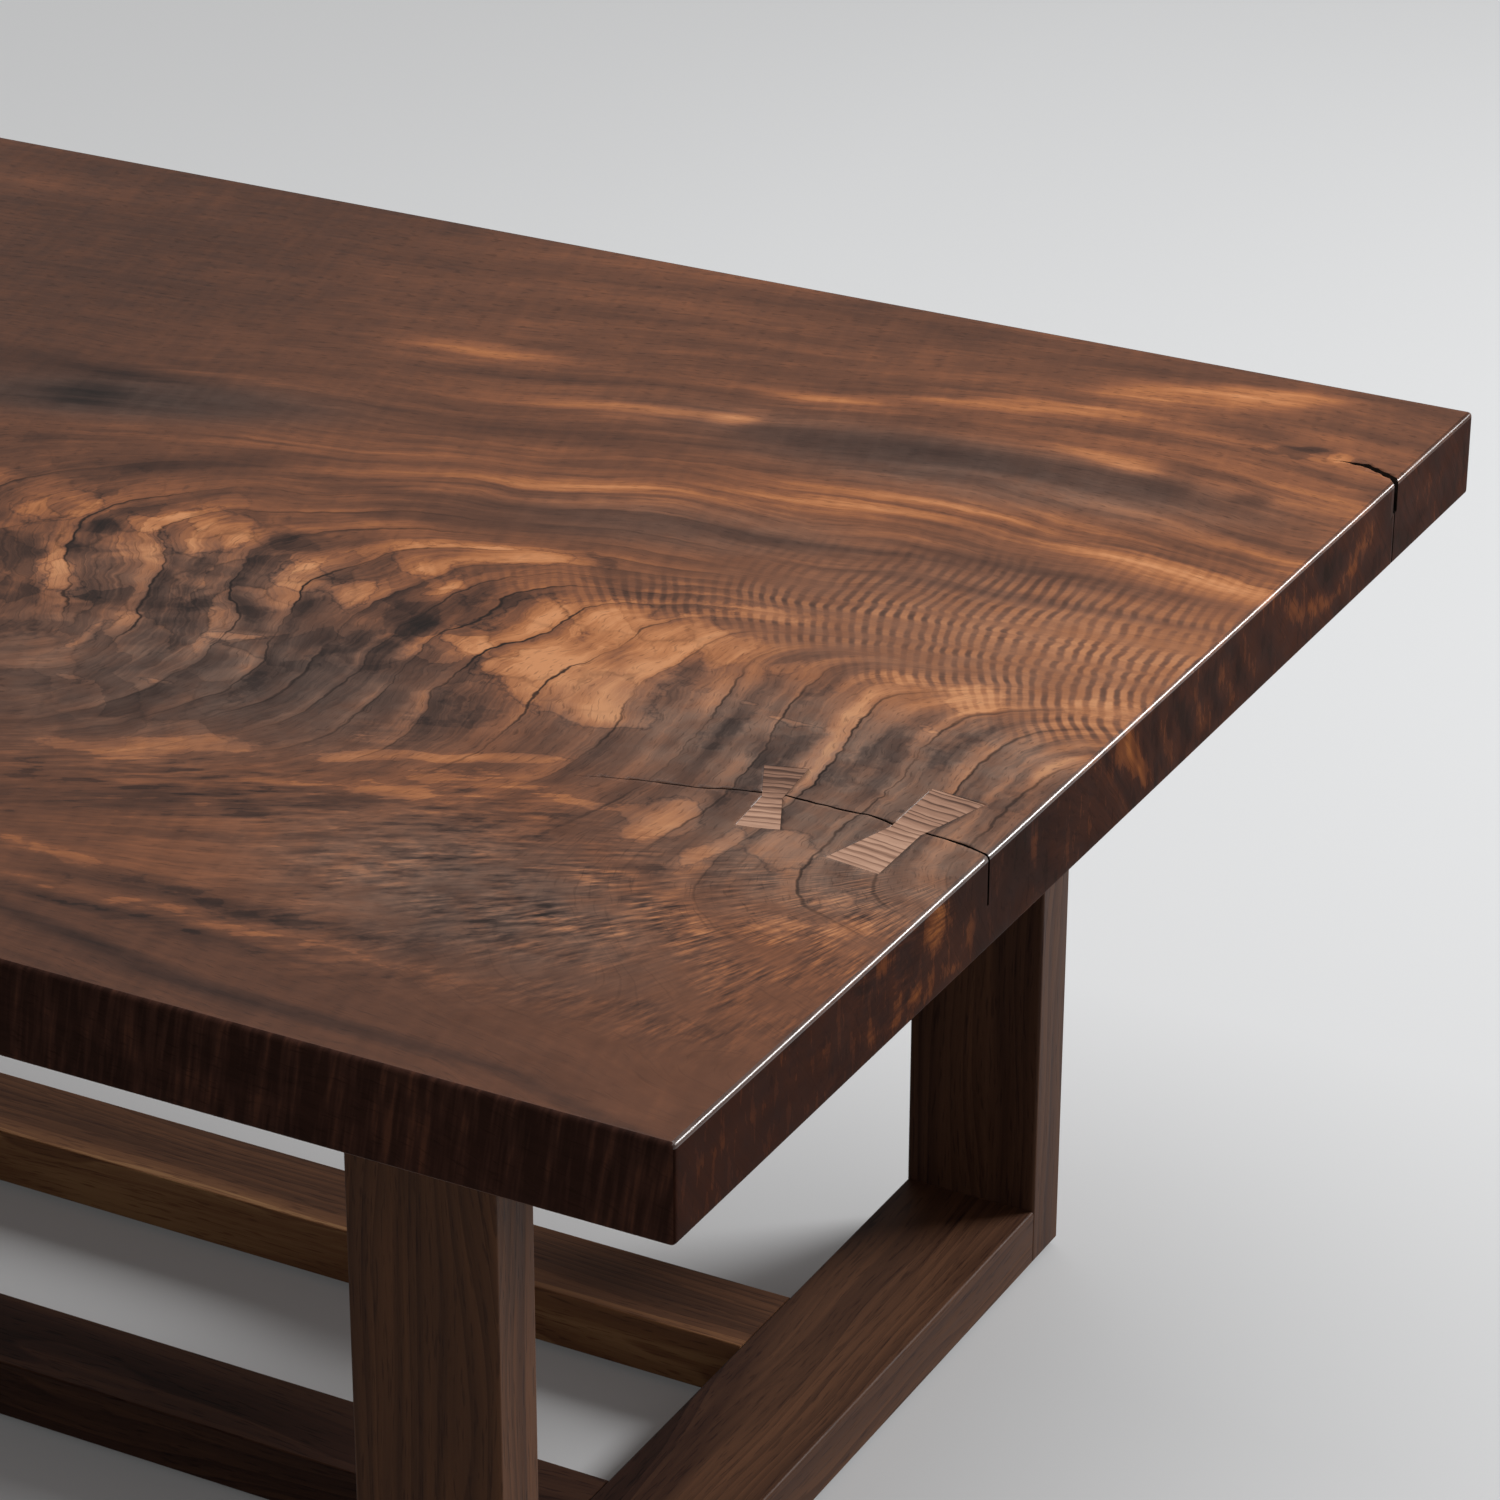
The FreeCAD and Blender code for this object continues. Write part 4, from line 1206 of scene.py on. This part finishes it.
@dataclass
class Slab:
    """The slab, as a dense mesh that can carry the figure, with its cracks, key pockets and insert holes."""

    length: float = 2 * RIGHT_END
    width: float = 760.0
    thickness: float = 40.0
    edge_radius: float = 2.0
    lower_edge_radius: float = 1.5
    cell: float = 3.5
    fine_columns: int = 243
    coarse_columns: int = 39
    rows: int = 217
    side_rows: int = 7
    underside_cells: int = 7
    insert_radius: float = 6.05
    insert_depth: float = 21.0
    pocket_fit: float = 0.05
    overrun: float = 3.0
    cracks: tuple[Crack, ...] = (
        Crack("long_crack", 172.0, 14.0, -134.5, 1.5, 21.0, (
            (0, 0, 1), (0.06, 0.24, 0.95), (0.13, 0.38, 0.8), (0.25, 0.45, 0.75), (0.31, 0.69, 0.85),
            (0.37, 0.61, 0.7), (0.53, 0.66, 0.8), (0.64, 0.36, 0.6), (0.72, -0.05, 0.5), (0.86, -0.41, 0.35),
            (1, -1, 0.06))),
        Crack("short_crack", 32.0, 11.0, 284.0, 4.6, 15.0, (
            (0, 0, 1), (0.14, 0.37, 0.9), (0.34, 0.65, 0.8), (0.55, 1, 0.85), (0.72, 1, 0.6), (0.86, 1, 0.25),
            (1, 0.96, 0.06))),
        Crack("short_crack_root", 36.0, 11.0, 284.0, 1.1, 43.0, (
            (0, 0, 1), (0.13, 0.37, 0.75), (0.32, 0.65, 0.6), (0.54, 1, 0.75), (0.78, 1, 0.5),
            (1, 0.9, 0.06))),
    )

    def __post_init__(self) -> None:
        """Works out the height of the underside and the half sizes."""
        self.bottom = TOP_HEIGHT - self.thickness
        self.border = np.array([self.length, self.width]) / 2

    def build(self) -> bpy.types.Object:
        """Models the slab and dresses it.

        Returns:
            The finished piece.
        """
        piece = self.blank()
        self.ease_edges(piece)
        pick(piece, "EDGE", self.spare_edges)
        bpy.ops.mesh.dissolve_edges(use_verts=True)
        bpy.ops.object.mode_set(mode="OBJECT")
        self.dress(piece)
        cutters = [crack.cutter() for crack in self.cracks]
        cutters += [self.pocket(f"{size}_butterfly_key") for size in ("small", "large")]
        cutters.append(self.insert_holes())
        # The near-black walls of the cracks are partly painted shade
        raw = CrackedWood().material()
        for cutter in cutters:
            cutter.data.materials.append(raw)
        carve(piece, cutters)
        only(piece)
        bpy.ops.object.shade_smooth_by_angle(angle=math.radians(30))
        Figure().mark(piece.data)
        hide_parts("slab")
        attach(piece, "root")
        return piece

    def blank(self) -> bpy.types.Object:
        """Models a closed block whose top has fine cells where the figure is busy.

        Returns:
            The block.
        """
        columns = self.fine_columns + self.coarse_columns
        span = columns * self.cell
        piece = new_piece("slab_top", bpy.ops.mesh.primitive_grid_add, x_subdivisions=columns,
                          y_subdivisions=self.rows, size=1.0)
        pick(piece)
        bpy.ops.transform.resize(value=(span * MM, self.width * MM, 1.0), center_override=(0, 0, 0))
        bpy.ops.transform.translate(value=((self.length / 2 - span / 2) * MM, 0, TOP_HEIGHT * MM))
        seam = self.length / 2 - self.fine_columns * self.cell
        pick(piece, "VERT", lambda mesh: points_of(mesh)[:, 0] < seam - self.cell / 2)
        stretch = (seam + self.length / 2) / (self.coarse_columns * self.cell)
        bpy.ops.transform.resize(value=(stretch, 1, 1), center_override=(seam * MM, 0, 0))
        sink(self.thickness)
        for depth in np.linspace(0, self.thickness, self.side_rows + 1)[1:-1]:
            pick(piece, "FACE", lambda mesh: np.abs(normals_of(mesh)[:, 2]) < 0.5)
            bpy.ops.mesh.bisect(plane_co=(0, 0, (TOP_HEIGHT - depth) * MM), plane_no=(0, 0, 1))
        bpy.ops.object.mode_set(mode="OBJECT")
        return piece

    def ease_edges(self, piece: bpy.types.Object) -> None:
        """Rounds the upright corners and the top edge, then the lower edge.

        Args:
            piece: The slab.
        """
        pick(piece, "EDGE", lambda mesh: self.rim(mesh, TOP_HEIGHT, True))
        bpy.ops.mesh.bevel(offset=self.edge_radius * MM, segments=4, affect="EDGES")
        pick(piece, "EDGE", lambda mesh: self.rim(mesh, self.bottom, False))
        bpy.ops.mesh.bevel(offset=self.lower_edge_radius * MM, segments=3, affect="EDGES")
        bpy.ops.object.mode_set(mode="OBJECT")

    def rim(self, mesh: bpy.types.Mesh, height: float, uprights: bool) -> np.ndarray:
        """Finds the edges that run round the slab.

        Args:
            mesh: The slab's mesh.
            height: The height at which they run.
            uprights: Whether the sharp upright corners belong to them.

        Returns:
            One truth value for each edge.
        """
        ends = edges_of(mesh)
        reach = np.abs(ends[:, :, :2])
        level = (np.abs(ends[:, :, 2] - height) < SAME).all(1)
        on_end, on_side = (np.abs(reach - self.border) < SAME).all(1).T
        if uprights:
            return (level & (on_end | on_side)) | (on_end & on_side)
        on_corner = (reach > self.border - self.edge_radius - SAME).all(2).all(1)
        return level & (on_end | on_side | on_corner)

    def spare_edges(self, mesh: bpy.types.Mesh) -> np.ndarray:
        """Finds the edges of the underside that go, so that its cells are joined into larger ones.

        Args:
            mesh: The slab's mesh.

        Returns:
            One truth value for each edge.
        """
        ends = edges_of(mesh)
        flat = (np.abs(ends[:, :, 2] - self.bottom) < SAME).all(1)
        inner = (np.abs(ends[:, :, :2]) < self.border - self.cell).any(1).all(1)
        spare = np.zeros(len(ends), dtype=bool)
        for axis in (0, 1):
            kept = np.unique(np.round(ends[flat][:, :, axis], 1))[::self.underside_cells]
            level = np.abs(ends[:, 0, axis] - ends[:, 1, axis]) < SAME
            spare |= level & (np.abs(ends[:, :1, axis] - kept[None]).min(1) > 0.2)
        return flat & inner & spare

    def pocket(self, key: str) -> bpy.types.Object:
        """A cutter a hair larger than a butterfly key, from the key's own node.

        Args:
            key: The key's node.

        Returns:
            The solid that cuts its pocket.
        """
        piece = new_piece(f"pocket_of_{key}", bpy.ops.mesh.primitive_cube_add, size=1.0)
        piece.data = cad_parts[key].data.copy()
        piece.data.materials.clear()
        pick(piece)
        bpy.ops.mesh.remove_doubles(threshold=1e-6)
        bpy.ops.mesh.normals_make_consistent(inside=False)
        bpy.ops.transform.shrink_fatten(value=self.pocket_fit * MM, use_even_offset=True)
        bpy.ops.object.mode_set(mode="OBJECT")
        return piece

    def insert_holes(self) -> bpy.types.Object:
        """Models the cutter of the blind holes in the underside, one over each threaded insert.

        Returns:
            The six cylinders as one piece.
        """
        holes = []
        radius, depth = self.insert_radius * MM, (self.insert_depth + self.overrun) * MM
        middle = (self.bottom + (self.insert_depth - self.overrun) / 2) * MM
        for end in ("left", "right"):
            low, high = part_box(f"{end}_threaded_inserts")
            for y in (low.y + radius, 0.0, high.y - radius):
                place = ((low.x + high.x) / 2, y, middle)
                holes.append(new_piece("insert_hole", bpy.ops.mesh.primitive_cylinder_add, vertices=40,
                                       radius=radius, depth=depth, location=place))
        only(*holes)
        bpy.ops.object.join()
        return holes[0]

    def dress(self, piece: bpy.types.Object) -> None:
        """Gives each side of the slab its finish.

        Args:
            piece: The slab, before anything is cut from it.
        """
        for side in Side:
            piece.data.materials.append(side.value.material())
        top, end, edge, under, arris = range(len(Side))
        steep, tilted, level = 0.55, 0.1, 0.995
        normals = normals_of(piece.data)
        upward, towards_end = normals[:, 2], np.abs(normals[:, 0]) > np.abs(normals[:, 1])
        sides = np.full(len(normals), top, dtype=np.int32)
        sides[np.abs(upward) < steep] = edge
        sides[(np.abs(upward) < steep) & towards_end] = end
        sides[upward < -steep] = under
        rounded = (upward > tilted) & (upward < level)
        sides[rounded] = np.where(towards_end[rounded], arris, edge)
        piece.data.polygons.foreach_set("material_index", sides)


@dataclass(frozen=True)
class FeltPad:
    """A stiff pressed felt pad under one corner of the base."""

    node: str
    edge: float = 0.8
    slack: float = 0.12
    height_slack: float = 0.1
    insets: tuple[float, ...] = (1.2, 4.0, 5.0)
    fuzz: float = 0.07
    seed: int = 1

    def build(self) -> bpy.types.Object:
        """Punches the disc out of felt, softens its rims and roughens its skin.

        Returns:
            The finished piece, which stands for its node.
        """
        low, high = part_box(self.node)
        middle, radius = (low + high) / 2, (high.x - low.x) / 2
        piece = new_piece(self.node.replace("floor_pad", "felt_pad"), bpy.ops.mesh.primitive_cylinder_add,
                          vertices=72, radius=radius - self.slack * MM, location=middle,
                          depth=high.z - low.z - self.height_slack * MM)
        bpy.ops.object.transform_apply(location=True, rotation=False, scale=False)
        pick(piece, "FACE", lambda mesh: np.abs(normals_of(mesh)[:, 2]) > 0.9)
        for width in self.insets:
            bpy.ops.mesh.inset(thickness=width * MM)
        pick(piece, "EDGE", lambda mesh: self.rims(mesh, middle, radius))
        bpy.ops.mesh.bevel(offset=self.edge * MM, segments=3, affect="EDGES")
        pick(piece)
        bpy.ops.transform.vertex_random(offset=self.fuzz * MM, uniform=0.4, normal=0.0, seed=self.seed)
        bpy.ops.object.mode_set(mode="OBJECT")
        bpy.ops.object.shade_smooth_by_angle(angle=math.radians(60))
        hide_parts(self.node)
        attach(piece, "root")
        return piece

    def rims(self, mesh: bpy.types.Mesh, middle: Vector, radius: float) -> np.ndarray:
        """Finds the two round edges of the disc.

        Args:
            mesh: The disc.
            middle: Its middle in metres.
            radius: Its radius in metres.

        Returns:
            One truth value for each edge.
        """
        ends = edges_of(mesh) * MM
        out = np.hypot(ends[:, :, 0] - middle.x, ends[:, :, 1] - middle.y)
        level = np.abs(ends[:, 0, 2] - ends[:, 1, 2]) < 1e-6
        return level & (out > radius - 2 * self.slack * MM).all(1)


@dataclass(frozen=True)
class Lamp:
    """A soft lamp that faces the table. Its place and size are in metres and its power is in watts."""

    name: str
    place: Place
    size: Point
    power: float
    long_side: Place
    towards: Place = (0.35, 0.0, 0.4)

    def hang(self) -> None:
        """Hangs the lamp."""
        lamp = bpy.data.lights.new(self.name, "AREA")
        lamp.shape, lamp.size, lamp.size_y, lamp.energy = "RECTANGLE", *self.size, self.power
        holder = bpy.data.objects.new(self.name, lamp)
        bpy.context.collection.objects.link(holder)
        long_side = Vector(self.long_side)
        away = (Vector(self.place) - Vector(self.towards)).normalized()
        side = (long_side - long_side.dot(away) * away).normalized()
        turned = Matrix((side, away.cross(side), away)).transposed().to_4x4()
        holder.matrix_world = Matrix.Translation(Vector(self.place)) @ turned


@dataclass(frozen=True)
class Studio:
    """A pale plain floor, soft lamps and the camera of the photograph."""

    floor: str = "dadbdc"
    floor_far: str = "f7f7f7"
    floor_under_lamp: str = "a2a3a4"
    floor_as_light: str = "8f8f8f"
    floor_width: float = 60.0
    floor_drop: float = 0.5
    far_glow: float = 0.34
    air: str = "ffffff"
    air_strength: float = 0.22
    air_seen: float = 0.55
    lamps: tuple[Lamp, ...] = (
        Lamp("window_light", (1.85, 2.04, 1.38), (1.3, 0.5), 58.0, (0.764, 0.0, 0.646)),
        Lamp("overhead_light", (0.3, 0.6, 2.8), (2.8, 2.2), 34.0, (1.0, 0.0, 0.0)))
    below_window: Place = (1.75, 1.9, 0.0)
    lens: float = 118.07
    sensor: float = 36.0
    camera_place: Place = (1394.2, -1633.9, 1254.6)
    yaw: float = -0.4881
    pitch: float = -0.4460
    roll: float = 0.0037

    def build(self) -> None:
        """Makes the floor, the air, the lamps and the camera."""
        self.lay_floor()
        self.light_air()
        for lamp in self.lamps:
            lamp.hang()
        self.aim()

    def lay_floor(self) -> None:
        """Lays a wide floor of pale paper, greyer below the window light and faintly shining far away.

        Seen from below it isn't there, so that a camera under it shows the table's underside.
        """
        floor = new_piece("studio_floor", bpy.ops.mesh.primitive_plane_add, size=self.floor_width,
                          location=(0, 0, -self.floor_drop * MM))
        material, put, place = new_material("matt_pale_studio_paper")
        camera, glossy, through = (put("LightPath", out=f"Is {ray} Ray") for ray in (
            "Camera", "Glossy", "Transmission"))
        seen = put("Math MAXIMUM", put("Math MAXIMUM", camera, glossy), through)
        spread = put("MapRange", put("VectorMath DISTANCE", place, self.below_window), 0.2, 5.0)
        paper = put("ValToRGB", spread, ramp=(
            (0.0, self.floor_under_lamp), (0.38, self.floor), (1.0, self.floor_far)))
        colour = put("Mix", seen, linear(self.floor_as_light), paper, data_type="RGBA")
        glow = put("MapRange", put("VectorMath LENGTH", place), 1.2, 5.0, 0.04, self.far_glow, **SMOOTH)
        glow = put("Math MULTIPLY", glow, seen)
        shader = put("BsdfPrincipled", Base_Color=colour, Roughness=0.9, Specular_IOR_Level=0.1,
                     Emission_Color=linear("ffffff"), Emission_Strength=glow)
        below = put("Math MULTIPLY", put("NewGeometry", out="Backfacing"), camera)
        put("OutputMaterial", put("MixShader", below, shader, put("BsdfTransparent")))
        floor.data.materials.append(material)

    def light_air(self) -> None:
        """Fills the studio with an even light, which the camera sees brighter than the table does."""
        world = bpy.data.worlds.new("studio_air")
        bpy.context.scene.world = world
        world.use_nodes = True
        back = world.node_tree.nodes["Background"]
        back.inputs["Color"].default_value = linear(self.air)
        seen = add(world.node_tree, "LightPath", out="Is Camera Ray")
        strength = add(world.node_tree, "MapRange", seen, 0.0, 1.0, self.air_strength, self.air_seen)
        world.node_tree.links.new(strength, back.inputs["Strength"])

    def aim(self) -> None:
        """Puts up the camera."""
        data = bpy.data.cameras.new("table_camera")
        data.sensor_fit, data.sensor_width, data.lens = "HORIZONTAL", self.sensor, self.lens
        camera = bpy.data.objects.new("table_camera", data)
        bpy.context.collection.objects.link(camera)
        reach = math.cos(self.pitch)
        forward = Vector((math.sin(self.yaw) * reach, math.cos(self.yaw) * reach, math.sin(self.pitch)))
        right = Vector((math.cos(self.yaw), -math.sin(self.yaw), 0.0))
        up = right.cross(forward)
        level = math.cos(self.roll) * right + math.sin(self.roll) * up
        upright = math.cos(self.roll) * up - math.sin(self.roll) * right
        turned = Matrix((level, upright, -forward)).transposed().to_4x4()
        camera.matrix_world = Matrix.Translation(Vector(self.camera_place) * MM) @ turned
        bpy.context.scene.camera = camera


# The last number lightens or darkens a board, partly its own tone and partly painted light and shade: painted
# light on the near front post, painted shade on the floor rail and front stretcher under the slab.
BOARDS = (
    StraightWalnut("right_front_post", Grain.UPRIGHT, (-330, -620), 200, 0.0, 0.17),
    StraightWalnut("right_back_post", Grain.UPRIGHT, (330, -620), 200, 0.3, -0.04),
    StraightWalnut("right_floor_rail", Grain.ACROSS, (-430, -60), 124, 0.7, -0.21),
    StraightWalnut("front_stretcher", Grain.ALONG, (-60, -40), 200, 1.4, -0.12),
    StraightWalnut("back_stretcher", Grain.ALONG, (150, 20), 92, 2.1, 0.15),
    StraightWalnut("right_top_rail", Grain.ACROSS, (-430, 300), 124, 0.9),
    StraightWalnut("left_front_post", Grain.UPRIGHT, (-330, 420), 200, 1.0),
    StraightWalnut("left_back_post", Grain.UPRIGHT, (330, 420), 200, 1.3),
    StraightWalnut("left_floor_rail", Grain.ACROSS, (430, -60), 124, 1.7),
    StraightWalnut("left_top_rail", Grain.ACROSS, (430, 300), 124, 1.9),
)


def dress_frame() -> None:
    """Gives the boards, keys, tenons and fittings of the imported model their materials."""
    finishes = {wood.board: wood.material() for wood in BOARDS}
    finishes["small_butterfly_key"] = KeyWalnut("small", 16.0, 0.0, 0.04, -0.3).material()
    finishes["large_butterfly_key"] = KeyWalnut("large", -7.7, 0.4, 0.06, -0.12).material()
    beech = Beech().material()
    steel = Metal("black_oxide_steel", "17181a", "2b2c2e", 0.38).material()
    brass = Metal("turned_brass", "8f7136", "b8964f", 0.3).material()
    finishes["stretcher_tenons"] = beech
    for end in ("left", "right"):
        finishes[f"{end}_frame_tenons"] = beech
        finishes[f"{end}_slab_bolts"] = finishes[f"{end}_slot_washers"] = steel
        finishes[f"{end}_threaded_inserts"] = brass
    for name, material in finishes.items():
        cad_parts[name].material_slots[0].material = material
        LOG.info("%s is dressed in %s", name, material.name)


def main() -> None:
    """Builds the scene in order and reports each piece."""
    logging.basicConfig(level=logging.INFO, format="%(message)s")
    bpy.context.scene.view_settings.view_transform = "Standard"
    Studio().build()
    slab = Slab().build()
    LOG.info("%s has %d faces", slab.name, len(slab.data.polygons))
    dress_frame()
    felt = Felt().material()
    for seed, corner in enumerate(("left_front", "left_back", "right_front", "right_back")):
        pad = FeltPad(f"{corner}_floor_pad", seed=seed).build()
        pad.data.materials.append(felt)
        LOG.info("%s has %d faces", pad.name, len(pad.data.polygons))


if __name__ == "__main__":
    main()
